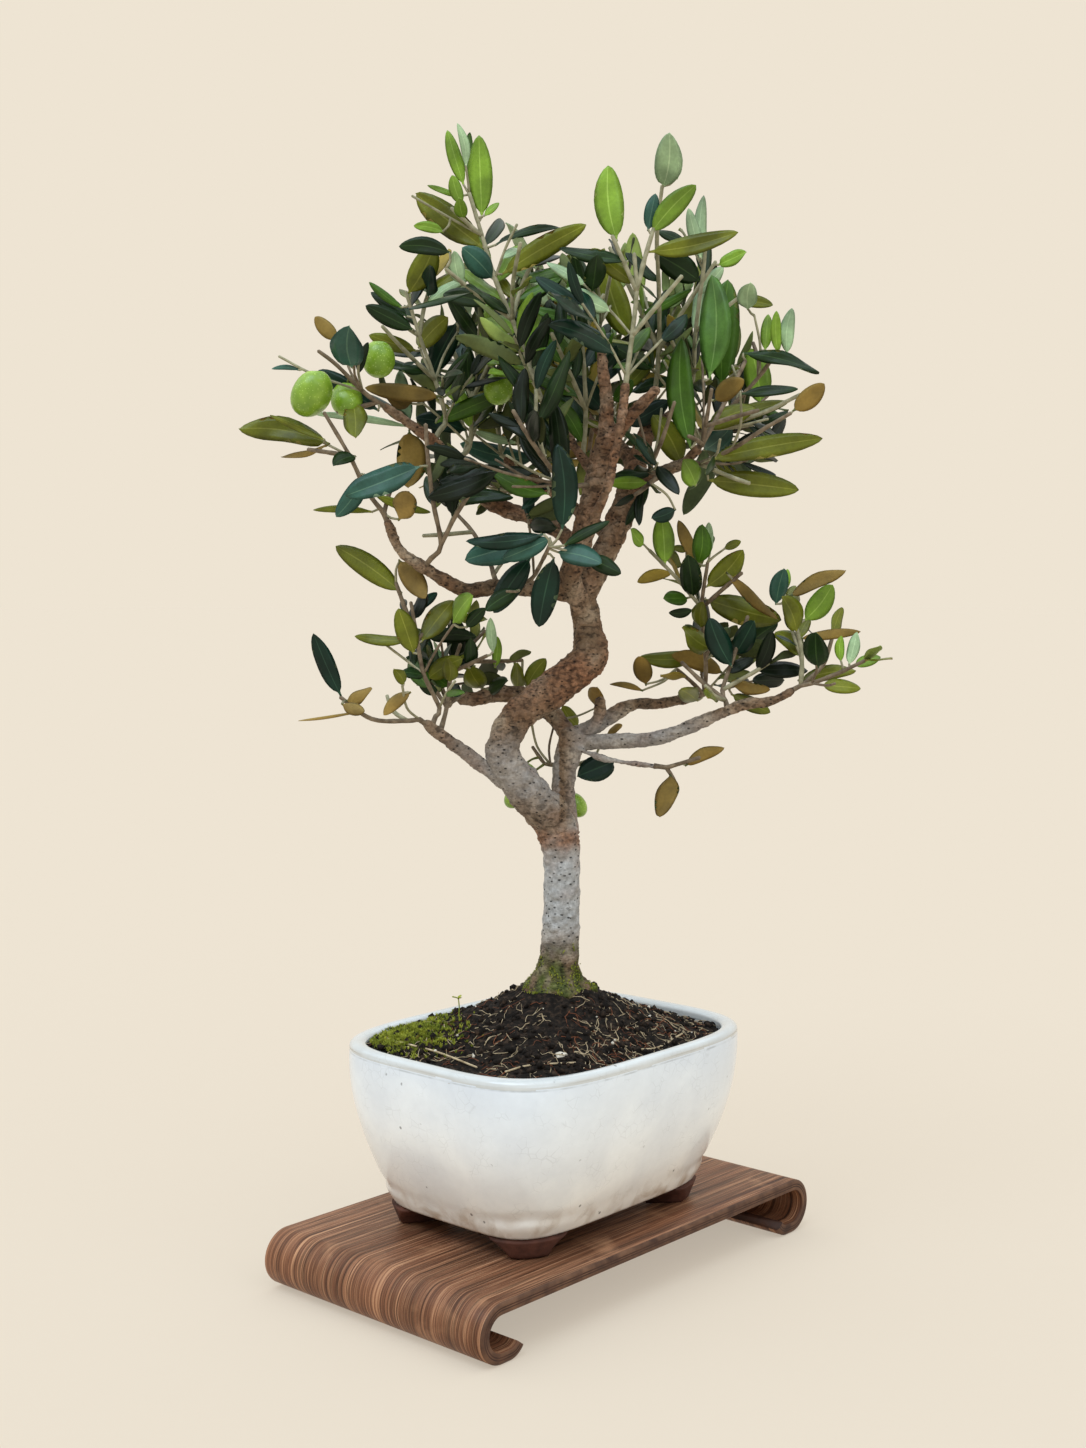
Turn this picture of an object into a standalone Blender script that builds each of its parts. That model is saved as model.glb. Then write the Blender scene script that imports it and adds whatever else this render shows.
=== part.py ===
"""Olive bonsai in a white glazed pot on a bentwood stand.

Lengths are in millimetres and become metres where a mesh is made.  The stand, feet, pot and soil are
laid out on the stand's own axes: X along its length, Z up from the floor.  The tree is laid out on its
own axes, which stand on the floor under the trunk's foot: x to the right of the tree's front, y away
from its front and z up.  An empty carries the tree and turns its front towards the pot's corner.
"""

import math
import random
from collections import namedtuple

import bmesh
import bpy
import numpy as np
from mathutils import Matrix, Vector

MM = 0.001
GAP = 0.3

# Stand: one sheet of bent ply whose ends curl down and under.
STAND_LENGTH = 240.0
STAND_WIDTH = 139.0
STAND_HEIGHT = 26.6
PLY = 5.4
CURL_FLAT = 5.0
CURL_RADIUS = 7.5
CURL_ANGLE = 55.0

# Pot: a rounded rectangle that narrows towards its base, on four corner feet.
POT_CENTRE = (-5.7, -3.7)
RIM_HALF = (87.5, 70.0)
BASE_HALF = (68.2, 48.6)
RIM_SQUARE = 3.9
BASE_SQUARE = 5.0
POT_BASE_Z = 35.9
RIM_Z = 113.4
RIM_ROUND = 2.6
WALL = 6.9
POT_FLOOR = 7.0
DRAIN_RADIUS = 6.0
FOOT_DEPTH = 15.0
FOOT_PROUD = 1.5
FOOT_LEAN = 3.0
FOOT_FLARE = 1.6
FOOT_POINTS = 7
FOOT_SPAN_TOP = 30.0
FOOT_SPAN_BOTTOM = 15.0
RING_POINTS = 24
FILL_SHARES = (0.0, 0.15, 0.35, 0.65, 1.0)
BASE_ROUND = 1.2
SIDE_RINGS = 6
LIP_RINGS = 5

# Soil: level with the inside of the rim, mounded up to the trunk's foot.
SOIL_EDGE_Z = 107.5
SOIL_TOP_Z = 132.0
SOIL_SEAT = 16.5
MOUND_POWER = 1.25
MOUND_SHARES = (0.25, 0.5, 0.8, 1.0)

# Tree: where its foot stands on the stand's axes, and how far its front is turned.
TREE_FOOT = (2.0, -2.0)
TREE_TURN = -48.08
FLARE_LOBES = 5
FLARE_DEPTH = 0.13
FLARE_TOP_Z = 147.0

TRUNK_SIDES = 10
BOUGH_SIDES = 7
TWIG_SIDES = 3
LIMB_STEP = 11.0
TWIG_STEP = 24.0
LIMB_NEAR = 1.0

BARK = (0.24, 0.18, 0.13, 1.0)

Limb = namedtuple("Limb", "sides stations")

# Each limb runs through a few stations (x, y, z, radius), from inside the limb that carries it to its
# tip.  A limb is cut back by every limb listed before it that it runs into.
LIMBS = {
    "trunk": Limb(TRUNK_SIDES, [
        (1, 0, SOIL_TOP_Z + GAP, 14.0), (1, 0, 138, 11.2), (2, 0, 146, 9.4), (3, 0, 170, 8.8),
        (3, 0, 196, 8.8), (0, -1, 211, 10.0), (-15, -7, 230, 9.2), (-25, -12, 247, 7.8),
        (-19, -10, 262, 7.8), (2, -2, 278, 8.7), (17, 4, 292, 8.4), (15, 5, 307, 6.9),
        (13, 4, 319, 6.6), (23, 6, 340, 6.1), (33, 12, 362, 6.3), (40, 21, 385, 5.0),
        (47, 30, 409, 3.6)]),
    "right_stem": Limb(BOUGH_SIDES + 2, [
        (6, 4, 205, 6.0), (4, 9, 221, 5.9), (5, 13, 237, 5.9), (9, 17, 253, 6.6)]),
    "back_left_bough": Limb(BOUGH_SIDES, [
        (9, 18, 249, 4.0), (-2, 25, 263, 4.4), (-14, 28, 270, 4.6), (-28, 24, 272, 4.0),
        (-38, 20, 270, 3.5), (-46, 17, 270, 3.0)]),
    "low_right_bough": Limb(BOUGH_SIDES, [
        (9, 16, 248, 3.8), (30, 12, 250, 3.8), (50, 6, 252, 3.3), (69, 0, 260, 3.0),
        (90, -6, 269, 2.7), (103, -8, 271, 2.3), (112, -9, 276, 1.9)]),
    "high_right_bough": Limb(BOUGH_SIDES, [
        (9, 18, 252, 4.0), (24, 24, 259, 3.9), (37, 30, 266, 3.1), (55, 36, 267, 2.7),
        (71, 42, 270, 2.2)]),
    "under_right_bough": Limb(BOUGH_SIDES - 2, [
        (9, 12, 247, 1.5), (24, 5, 242, 1.4), (38, 1, 240, 1.3), (49, -2, 239, 1.1)]),
    "knuckle_stub": Limb(BOUGH_SIDES, [
        (14, 18, 251, 3.3), (21, 16, 261, 3.1), (22, 14, 270, 2.9)]),
    "low_left_bough": Limb(BOUGH_SIDES, [
        (-22, -8, 231, 4.2), (-39, -14, 244, 3.3), (-51, -21, 254, 2.9), (-60, -26, 261, 2.5)]),
    "mid_left_bough": Limb(BOUGH_SIDES, [
        (12, 4, 320, 4.0), (-7, -8, 323, 4.0), (-26, -16, 324, 3.7), (-43, -22, 323, 3.4),
        (-56, -25, 330, 3.0), (-72, -28, 342, 2.5), (-77, -28, 354, 2.1)]),
    "fore_bough": Limb(BOUGH_SIDES, [
        (14, 4, 312, 5.0), (7, -10, 330, 5.2), (11, -17, 343, 5.3), (16, -23, 360, 5.6),
        (20, -28, 380, 5.1), (23, -31, 392, 4.6)]),
    "fore_stub": Limb(BOUGH_SIDES, [
        (22, -30, 388, 3.9), (23, -33, 407, 3.0), (20, -36, 430, 2.1)]),
    "fore_side_stub": Limb(BOUGH_SIDES, [
        (22, -30, 386, 3.2), (34, -37, 401, 2.8), (45, -44, 412, 2.3)]),
    "fore_leader": Limb(BOUGH_SIDES - 2, [
        (15, -22, 350, 2.3), (23, -37, 368, 2.2), (28, -43, 392, 2.1), (31, -43, 414, 1.9)]),
    "high_left_bough": Limb(BOUGH_SIDES, [
        (11, -15, 340, 3.8), (2, -4, 350, 3.7), (-10, 4, 357, 3.8), (-26, 8, 362, 4.0),
        (-42, 8, 374, 3.6), (-56, 2, 391, 2.8), (-68, -8, 400, 2.2), (-79, -18, 407, 1.9)]),
    "left_leader_bough": Limb(BOUGH_SIDES - 2, [
        (18, -26, 375, 2.4), (7, -24, 390, 2.2), (-5, -20, 408, 2.0)]),
    "right_crown_bough": Limb(BOUGH_SIDES, [
        (35, 14, 368, 3.0), (49, 10, 378, 2.8), (60, -4, 382, 2.5), (66, -12, 388, 2.1)]),
    "back_bough": Limb(BOUGH_SIDES, [
        (38, 18, 380, 3.4), (33, 34, 392, 3.0), (22, 50, 402, 2.5), (16, 58, 410, 2.2)]),
    "back_left_crown_bough": Limb(BOUGH_SIDES, [
        (26, 8, 348, 3.2), (10, 26, 362, 3.0), (-8, 42, 376, 2.6), (-24, 52, 388, 2.2)]),
    "back_right_crown_bough": Limb(BOUGH_SIDES, [
        (44, 26, 400, 2.6), (56, 38, 408, 2.4), (66, 50, 412, 2.1)]),
}

# Shoots: each carries one mass of leaves.  A shoot leaves its bough where the bough lies nearest to the
# first point of its route, and runs through the route to its tip.  forks are the tips of its named side
# twigs, more is how many further twigs the seed adds, leaf is the longest leaf, slim its width as a share
# of its length, pitch the distance between pairs of leaves, and fruit holds olives (x, y, z, radius).
Shoot = namedtuple("Shoot", "bough route forks more leaf slim pitch seed fruit spread vigour",
                   defaults=((), (20, 48), 0))

SHOOTS = {
    "top_left_leader": Shoot("left_leader_bough", [
        (-12, -17, 426), (-20, -14, 447), (-28, -11, 466), (-34, -8, 486), (-40, -6, 506)],
        [(-48, -12, 498), (-8, -4, 480), (-50, -26, 468)], 1, 40, 0.27, 21, 11),
    "top_middle_leader": Shoot("fore_leader", [
        (34, -40, 436), (36, -38, 456), (35, -36, 473)],
        [(25, -40, 480), (44, -34, 485), (56, -42, 462)], 0, 41, 0.28, 22, 12),
    "top_right_leader": Shoot("trunk", [
        (50, 24, 438), (49, 10, 464), (47, -6, 487), (49, -12, 508)],
        [(26, 20, 486), (76, 12, 478)], 1, 38, 0.30, 22, 13),
    "front_right_shoot": Shoot("right_crown_bough", [
        (69, -18, 398), (71, -26, 414)],
        [(92, -30, 404), (60, -34, 392)], 1, 57, 0.27, 22, 14, (), (9, 45), 5),
    "right_pale_shoot": Shoot("back_right_crown_bough", [
        (66, 26, 420), (67, 16, 446), (70, 10, 474), (71, 8, 488)],
        [(88, 16, 462), (54, 0, 440)], 0, 34, 0.30, 21, 15),
    "right_upper_shoot": Shoot("right_crown_bough", [
        (72, 2, 398), (86, 6, 412), (96, 4, 423), (104, 0, 434)],
        [(116, 6, 415), (94, 12, 440)], 0, 36, 0.27, 20, 16),
    "right_edge_shoot": Shoot("right_crown_bough", [
        (68, 0, 382), (82, -12, 388), (95, -22, 396), (107, -28, 403)],
        [(90, -14, 372)], 0, 42, 0.26, 21, 17),
    "front_shoot": Shoot("mid_left_bough", [
        (-10, -30, 329), (-3, -52, 342)],
        [], 0, 42, 0.31, 7, 18, (), (62, 92), 24),
    "front_upper_shoot": Shoot("fore_bough", [
        (4, -40, 370), (-5, -52, 380), (-13, -58, 391), (-19, -60, 401)],
        [], 1, 40, 0.27, 20, 19),
    "front_middle_shoot": Shoot("right_crown_bough", [
        (44, -8, 378), (49, -22, 392), (54, -28, 408)],
        [(36, -26, 366)], 0, 34, 0.28, 20, 44),
    "middle_shoot": Shoot("fore_bough", [
        (13, -13, 384), (14, -12, 406), (12, -12, 438), (7, -8, 468)],
        [(-2, -34, 438), (22, -16, 458)], 0, 38, 0.27, 21, 20),
    "inner_left_shoot": Shoot("high_left_bough", [
        (-41, 18, 392), (-40, 22, 414), (-37, 24, 438), (-36, 24, 460)],
        [(-24, 10, 446), (-53, 34, 446)], 0, 36, 0.28, 21, 21, ((-27, 8, 418, 7.0),)),
    "left_crown_shoot": Shoot("high_left_bough", [
        (-52, 8, 404), (-57, 8, 422), (-64, 4, 442), (-70, 0, 462)],
        [(-80, -14, 444), (-58, 12, 470)], 1, 36, 0.27, 20, 22),
    "left_fruit_shoot": Shoot("high_left_bough", [
        (-88, -25, 413), (-99, -31, 424), (-107, -35, 430)],
        [(-100, -24, 404)], 0, 30, 0.34, 18, 23,
        ((-110, -36, 411, 9.4), (-81, -22, 428, 7.6), (-96, -20, 410, 7.4))),
    "left_edge_shoot": Shoot("mid_left_bough", [
        (-86, -34, 368), (-93, -38, 383), (-104, -40, 402)],
        [(-72, -18, 376), (-112, -36, 386)], 0, 42, 0.26, 21, 24),
    "mid_left_shoot": Shoot("mid_left_bough", [
        (-52, -36, 343), (-55, -42, 361), (-57, -46, 379), (-58, -48, 396)],
        [(-38, -50, 366)], 0, 40, 0.27, 22, 25),
    "inner_mid_left_shoot": Shoot("mid_left_bough", [
        (-31, -8, 336), (-39, -2, 350), (-50, 4, 362)],
        [(-18, 12, 344), (-62, -8, 348)], 0, 32, 0.32, 21, 26),
    "heart_left_shoot": Shoot("trunk", [
        (28, 24, 400), (14, 32, 422), (3, 34, 448), (-6, 28, 474)],
        [(-16, 44, 446), (16, 40, 472)], 0, 38, 0.27, 22, 27),
    "back_top_left_shoot": Shoot("back_left_crown_bough", [
        (-29, 60, 408), (-38, 64, 436), (-42, 58, 460)],
        [(-58, 58, 430), (-18, 72, 450)], 0, 36, 0.28, 22, 29),
    "back_top_shoot": Shoot("back_bough", [
        (18, 64, 432), (23, 64, 456), (28, 56, 480)],
        [(2, 78, 452), (42, 76, 456)], 0, 36, 0.28, 22, 30),
    "back_top_right_shoot": Shoot("back_right_crown_bough", [
        (70, 62, 430), (79, 64, 450), (84, 58, 468)],
        [(60, 82, 446), (100, 70, 438)], 0, 36, 0.28, 22, 31),
    "back_left_shoot": Shoot("back_left_crown_bough", [
        (-19, 37, 371), (-42, 46, 380), (-62, 52, 396), (-78, 52, 412)],
        [(-66, 66, 376), (-44, 70, 400)], 0, 34, 0.30, 21, 32),
    "back_middle_shoot": Shoot("back_bough", [
        (16, 70, 388), (10, 84, 400), (2, 92, 420)],
        [(36, 88, 398), (-14, 82, 392)], 0, 34, 0.30, 21, 33),
    "back_right_shoot": Shoot("back_right_crown_bough", [
        (68, 36, 401), (86, 48, 402), (105, 57, 413)],
        [(84, 68, 382), (96, 42, 388)], 0, 34, 0.30, 21, 34),
    "low_left_shoot": Shoot("low_left_bough", [
        (-54, -19, 268), (-61, -23, 284), (-64, -22, 300), (-67, -20, 317)],
        [(-74, -18, 326), (-50, -10, 310)], 0, 33, 0.30, 20, 35),
    "low_left_edge_shoot": Shoot("low_left_bough", [
        (-68, -34, 263), (-84, -36, 264), (-98, -38, 274)],
        [(-78, -24, 274)], 0, 31, 0.36, 21, 36),
    "low_left_inner_shoot": Shoot("low_left_bough", [
        (-51, -12, 268), (-49, -6, 284), (-45, 0, 297)],
        [(-64, -2, 284), (-32, -12, 292)], 0, 24, 0.42, 18, 37),
    "low_back_left_shoot": Shoot("back_left_bough", [
        (-55, 17, 276), (-48, 24, 288), (-34, 26, 303)],
        [(-16, 40, 288), (-54, 38, 266)], 0, 26, 0.40, 18, 38),
    "fork_shoot": Shoot("right_stem", [
        (-5, 22, 238), (-11, 26, 246)],
        [(20, 32, 240)], 0, 27, 0.48, 20, 39,
        ((10, 21, 218, 5.6), (-14, 20, 232, 6.4), (-19, 14, 223, 5.4))),
    "low_right_back_shoot": Shoot("high_right_bough", [
        (75, 40, 288), (72, 30, 314), (74, 22, 336)],
        [(46, 26, 342), (90, 16, 331), (60, 34, 284)], 0, 30, 0.38, 20, 40),
    "low_right_shoot": Shoot("low_right_bough", [
        (80, 6, 275), (86, 12, 291), (93, 16, 310)],
        [(61, 14, 288), (102, 4, 288), (70, -14, 278)], 0, 28, 0.38, 18, 41),
    "right_tip_shoot": Shoot("low_right_bough", [
        (120, -12, 279), (132, -15, 284), (144, -18, 290)],
        [(112, -2, 304), (108, 2, 322), (132, 4, 300)], 0, 28, 0.38, 20, 42),
    "under_right_shoot": Shoot("under_right_bough", [
        (57, -5, 240), (68, -10, 244)],
        [(58, -1, 228)], 0, 25, 0.42, 18, 43),
}

# Twigs: the neck is the straight start of a stem.  A side twig leaves its stem a share of its reach
# before the stem's nearest point, bows forwards and sags a little.
STEM_RADIUS = 1.6
FORK_RADIUS = 1.3
TIP_RADIUS = 1.1
NECK = 3.5
FORK_SET_BACK = 0.7
FORK_BOW = 0.1
FORK_SAG = 0.08
LEVEL_HINT = (0.3, 0.2, 1.0)
GOLDEN_ANGLE = 137.5
TWIG_SHARES = (0.3, 0.85)
TWIG_REACH = (0.6, 0.95)
TWIG_FORWARD = 0.8
TWIG_LIFT = (0.0, 0.0, 0.2)
TWIG_CLEAR = 5.0
TRIES = 8

# Leaves: a shoot's stem is bare for a stretch, and so is each side twig.  The last pair of leaves on a
# twig is smaller.  Blades face out from the crown's axis, up, and to the tree's front on its front half.
STEM_BARE = 9.5
FORK_BARE = 5.0
TIP_INSET = 0.8
TIP_SIZE = 0.9
PAIR_TURN = 90.0
TURN_JITTER = 8.0
SPREAD_JITTER = (-8.0, 10.0)
SIZE_JITTER = (0.78, 1.0)
WIDTH_JITTER = (0.88, 1.12)
RISE_JITTER = (-0.05, 0.3)
DROOP_JITTER = (-0.02, 0.2)
CROWN_AXIS = (0.0, 15.0)
FRONT_Y = 25.0
FACE_OUT = 0.45
FACE_UP = 0.55
FACE_FRONT = 0.75
FACE_BACK = -0.3
FACE_JITTER = 0.6
LEAF_THICK = 1.1
LEAF_SINK = 0.4
LEAF_WIDE_AT = 0.45
LEAF_HALF = 1.3
LEAF_OUTLINE = ((0.0, 0.0), (LEAF_WIDE_AT, -LEAF_HALF), (1.0, 0.0), (LEAF_WIDE_AT, LEAF_HALF))
LEAF_CLEAR = 1.2
TWIG_LEAF_CLEAR = 0.3
LEAF_LEAF_CLEAR = 1.6
SAMPLE_ROW = 5

OLIVE_LENGTH = 1.12
STALK_REACH = 0.6


def unit(vector):
    """The vector at length 1."""
    vector = np.asarray(vector, float)
    return vector / max(np.linalg.norm(vector), 1e-9)


def smooth(stations, step):
    """Points about step apart on the Catmull-Rom curve through the stations."""
    knots = np.array(stations, float)
    first = 2 * knots[0] - knots[1]
    last = 2 * knots[-1] - knots[-2]
    knots = np.vstack([first, knots, last])
    points = []
    for before, start, end, after in zip(knots, knots[1:], knots[2:], knots[3:]):
        count = max(1, round(np.linalg.norm((end - start)[:3]) / step))
        for t in np.arange(count) / count:
            points.append(0.5 * (2 * start + (end - before) * t
                                 + (2 * before - 5 * start + 4 * end - after) * t ** 2
                                 + (3 * start - before - 3 * end + after) * t ** 3))
    points.append(knots[-2])
    return np.array(points)


class Lines:
    """Tapered lines that keep things off: the distance of points from their surface."""

    def __init__(self, lines):
        starts = [line[:-1] for line in lines]
        ends = [line[1:] for line in lines]
        self.start = np.vstack(starts) if lines else np.zeros((0, 4))
        self.along = (np.vstack(ends) if lines else np.zeros((0, 4))) - self.start

    def clearance(self, points):
        """How far each point is outside the nearest line's surface."""
        if not len(self.start):
            return np.full(len(points), np.inf)
        offset = points[:, None, :] - self.start[None, :, :3]
        along = self.along[:, :3]
        share = (offset * along).sum(-1) / (along ** 2).sum(-1)
        share = np.clip(share, 0.0, 1.0)
        apart = np.linalg.norm(offset - share[..., None] * along, axis=-1)
        return (apart - self.start[:, 3] - share * self.along[:, 3]).min(1)


Leaf = namedtuple("Leaf", "root direction side normal length width droop")


def leaf_point(leaf, u, v, lift=0.0):
    """The point a share u along the leaf, v half-widths across it and lift above its blade."""
    arch = leaf.normal * (lift - leaf.droop * leaf.length * u * u)
    return leaf.root + leaf.direction * leaf.length * u + arch + leaf.side * v * leaf.width / 2


def leaf_samples(leaf):
    """Points that cover the leaf closely."""
    points = []
    for u in np.linspace(0.12, 1.0, 14):
        half = min(1.0, u / 0.3, (1.06 - u) / 0.28)
        for v in (-half, -half / 2, 0.0, half / 2, half):
            points.append(leaf_point(leaf, u, v))
    return np.array(points)


def bough_line(name):
    """The limb's centre line with its radius."""
    return smooth(LIMBS[name].stations, LIMB_STEP)


def stem_line(shoot):
    """The shoot's stem: clear of its bough by the gap, then along its route."""
    line = bough_line(shoot.bough)
    target = np.array(shoot.route[0], float)
    fine = smooth(line, 1.0)
    nearest = int(np.argmin(np.linalg.norm(fine[:, :3] - target, axis=1)))
    seat = fine[nearest]
    if nearest == len(fine) - 1:
        away = unit(line[-1, :3] - line[-2, :3])
        start = seat[:3] + away * GAP
    else:
        run = unit(fine[nearest + 1, :3] - fine[max(nearest - 1, 0), :3])
        away = target - seat[:3]
        away = unit(away - run * (away @ run))
        start = seat[:3] + away * (seat[3] + GAP)
    stations = [start, start + away * NECK, *shoot.route]
    radii = np.linspace(STEM_RADIUS, TIP_RADIUS, len(stations))
    return smooth([(*point, radius) for point, radius in zip(stations, radii)], TWIG_STEP)


def fork_line(stem, tip):
    """A side twig from the stem to the tip: it leaves forwards and bows out."""
    tip = np.array(tip, float)
    away = np.linalg.norm(stem[:, :3] - tip, axis=1)
    nearest = int(np.argmin(away))
    back = away[nearest] * FORK_SET_BACK
    index = nearest
    while index > 1 and back > 0:
        back -= np.linalg.norm(stem[index, :3] - stem[index - 1, :3])
        index -= 1
    root = stem[max(index, 1), :3]
    run = unit(stem[min(index + 1, len(stem) - 1), :3] - root)
    reach = np.linalg.norm(tip - root)
    middle = (root + tip) / 2 + run * reach * FORK_BOW - np.array((0, 0, reach * FORK_SAG))
    stations = [(*root, FORK_RADIUS), (*middle, FORK_RADIUS), (*tip, TIP_RADIUS)]
    return smooth(stations, TWIG_STEP)


def seeded_tip(stem, number, shoot, chance):
    """A tip for one more side twig: turned round the stem by the golden angle."""
    share = chance.uniform(*TWIG_SHARES)
    root = stem[int(share * (len(stem) - 1)), :3]
    run = unit(stem[-1, :3] - stem[0, :3])
    level = unit(np.cross(run, LEVEL_HINT))
    across = np.cross(run, level)
    turn = math.radians(GOLDEN_ANGLE * number + chance.uniform(0, 360))
    out = level * math.cos(turn) + across * math.sin(turn)
    reach = shoot.leaf * chance.uniform(*TWIG_REACH)
    return root + unit(run * TWIG_FORWARD + out + TWIG_LIFT) * reach


def grow_twigs():
    """Every shoot's stem and side twigs, each clear of the limbs and of the other shoots."""
    limbs = Lines([bough_line(name) for name in LIMBS])
    twigs = {}
    for name, shoot in SHOOTS.items():
        stem = stem_line(shoot)
        twigs[name] = [stem] + [fork_line(stem, tip) for tip in shoot.forks]
    for name, shoot in SHOOTS.items():
        chance = random.Random(shoot.seed)
        others = Lines([line for other in twigs if other != name for line in twigs[other]])
        added = 0
        for number in range(shoot.more * TRIES):
            if added == shoot.more:
                break
            line = fork_line(twigs[name][0], seeded_tip(twigs[name][0], number, shoot, chance))
            points = smooth(line, 3.0)[2:, :3]
            own = Lines(twigs[name]).clearance(points[len(points) // 2:])
            free = min(others.clearance(points).min(), limbs.clearance(points).min(), own.min())
            if free > TWIG_CLEAR:
                twigs[name].append(line)
                added += 1
    return twigs


def make_leaf(point, run, turn, spread, length, slim, chance):
    """One leaf at a node of a twig that runs along run."""
    level = unit(np.cross(run, LEVEL_HINT))
    across = np.cross(run, level)
    out = level * math.cos(turn) + across * math.sin(turn)
    direction = run * math.cos(spread) + out * math.sin(spread)
    direction = unit(direction + np.array((0, 0, chance.uniform(*RISE_JITTER))))
    outward = unit(np.array((point[0] - CROWN_AXIS[0], point[1] - CROWN_AXIS[1], 0.0)))
    front = FACE_FRONT if point[1] < FRONT_Y else FACE_BACK
    facing = outward * FACE_OUT + np.array((0, -front, FACE_UP))
    facing = facing + np.array([chance.uniform(-FACE_JITTER, FACE_JITTER) for _ in range(3)])
    normal = unit(facing - direction * (facing @ direction))
    side = np.cross(direction, normal)
    width = length * slim * chance.uniform(*WIDTH_JITTER)
    droop = chance.uniform(*DROOP_JITTER)
    return Leaf(point - direction * LEAF_SINK, direction, side, normal, length, width, droop)


def leaf_is_free(leaf, own, own_space, other_space, keep_off, grown):
    """Whether the leaf stays in its mass's space, off the limbs and off the mass's other leaves."""
    points = leaf_samples(leaf)
    if (other_space.clearance(points) < own_space.clearance(points) + LEAF_CLEAR).any():
        return False
    if keep_off.clearance(points).min() < LEAF_CLEAR:
        return False
    outer = points[5 * SAMPLE_ROW:]
    if own.clearance(outer).min() < TWIG_LEAF_CLEAR:
        return False
    for other in grown:
        if np.linalg.norm(outer[:, None] - other[None, 2 * SAMPLE_ROW:], axis=-1).min() < LEAF_LEAF_CLEAR:
            return False
    return True


def widened(lines, vigour):
    """The lines with their radius raised, so that they claim more space."""
    return [line + np.array((0, 0, 0, vigour)) for line in lines]


def grow_leaves(name, twigs):
    """The leaves of one shoot, in opposite pairs that turn a right angle from node to node."""
    shoot = SHOOTS[name]
    chance = random.Random(shoot.seed + 1000)
    limbs = [bough_line(limb) for limb in LIMBS]
    other_twigs = [line for other in twigs if other != name for line in twigs[other]]
    fruit = [np.array([(*olive[:3], olive[3]), (olive[0], olive[1], olive[2] + 0.01, olive[3])])
             for other in SHOOTS.values() for olive in other.fruit]
    keep_off = Lines(limbs + other_twigs + fruit)
    own = Lines(twigs[name])
    own_space = Lines(widened(twigs[name], shoot.vigour))
    other_space = Lines([wide for other in twigs if other != name
                         for wide in widened(twigs[other], SHOOTS[other].vigour)])
    leaves = []
    grown = []
    for index, line in enumerate(twigs[name]):
        fine = smooth(line, 1.0)[:, :3]
        run_on = np.concatenate([[0.0], np.cumsum(np.linalg.norm(np.diff(fine, axis=0), axis=1))])
        first = STEM_BARE if index == 0 else FORK_BARE
        phase = chance.uniform(0, 90)
        for order, at in enumerate(np.arange(run_on[-1], first, -shoot.pitch)):
            where = max(int(np.searchsorted(run_on, at - 1e-6)), 1)
            run = unit(fine[where] - fine[max(where - 4, 0)])
            point = fine[where] - run * (TIP_INSET if order == 0 else 0.0)
            size = shoot.leaf * (TIP_SIZE if order == 0 else 1.0)
            for half in (0, 180):
                for attempt in range(TRIES):
                    jitter = chance.uniform(-TURN_JITTER, TURN_JITTER) * (attempt + 1)
                    turn = math.radians(phase + PAIR_TURN * order + half + jitter)
                    spread = shoot.spread[min(order, 1)] + chance.uniform(*SPREAD_JITTER)
                    reach = size * chance.uniform(*SIZE_JITTER) * (1 - attempt / (2.5 * TRIES))
                    leaf = make_leaf(point, run, turn, math.radians(spread), reach, shoot.slim, chance)
                    if leaf_is_free(leaf, own, own_space, other_space, keep_off, grown):
                        leaves.append(leaf)
                        grown.append(leaf_samples(leaf))
                        break
    return leaves


def material(name, colour, roughness, metallic=0.0):
    """A Principled material in the sub-part's own colour."""
    made = bpy.data.materials.new(name)
    made.use_nodes = True
    shader = made.node_tree.nodes["Principled BSDF"]
    shader.inputs["Base Color"].default_value = colour
    shader.inputs["Roughness"].default_value = roughness
    shader.inputs["Metallic"].default_value = metallic
    made.diffuse_color = colour
    return made


def new_object(name, data, collection):
    """Link a new object with this data."""
    made = bpy.data.objects.new(name, data)
    collection.objects.link(made)
    return made


def replace_mesh(thing, mesh):
    """Give the object the new mesh and drop its old data and modifiers."""
    old = thing.data
    thing.modifiers.clear()
    thing.data = mesh
    bpy.data.meshes.remove(old)


def evaluated_mesh(thing):
    """The object's mesh with its modifiers applied."""
    depsgraph = bpy.context.evaluated_depsgraph_get()
    return bpy.data.meshes.new_from_object(thing.evaluated_get(depsgraph), depsgraph=depsgraph)


def polygon_curve(sides, collection):
    """A closed polygon of radius 1 mm that a tube is swept with."""
    curve = bpy.data.curves.new(f"section_{sides}", "CURVE")
    curve.dimensions = "2D"
    spline = curve.splines.new("POLY")
    spline.points.add(sides - 1)
    for index, point in enumerate(spline.points):
        angle = 2 * math.pi * index / sides
        point.co = (math.cos(angle) * MM, math.sin(angle) * MM, 0, 1)
    spline.use_cyclic_u = True
    made = new_object(curve.name, curve, collection)
    made.hide_render = True
    made.display_type = "WIRE"
    return made


def face_outwards(shape):
    """Turn the faces of a closed body out, also where it is as thin as a leaf."""
    bmesh.ops.recalc_face_normals(shape, faces=shape.faces)
    if shape.calc_volume(signed=True) < 0:
        bmesh.ops.reverse_faces(shape, faces=shape.faces)


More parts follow.
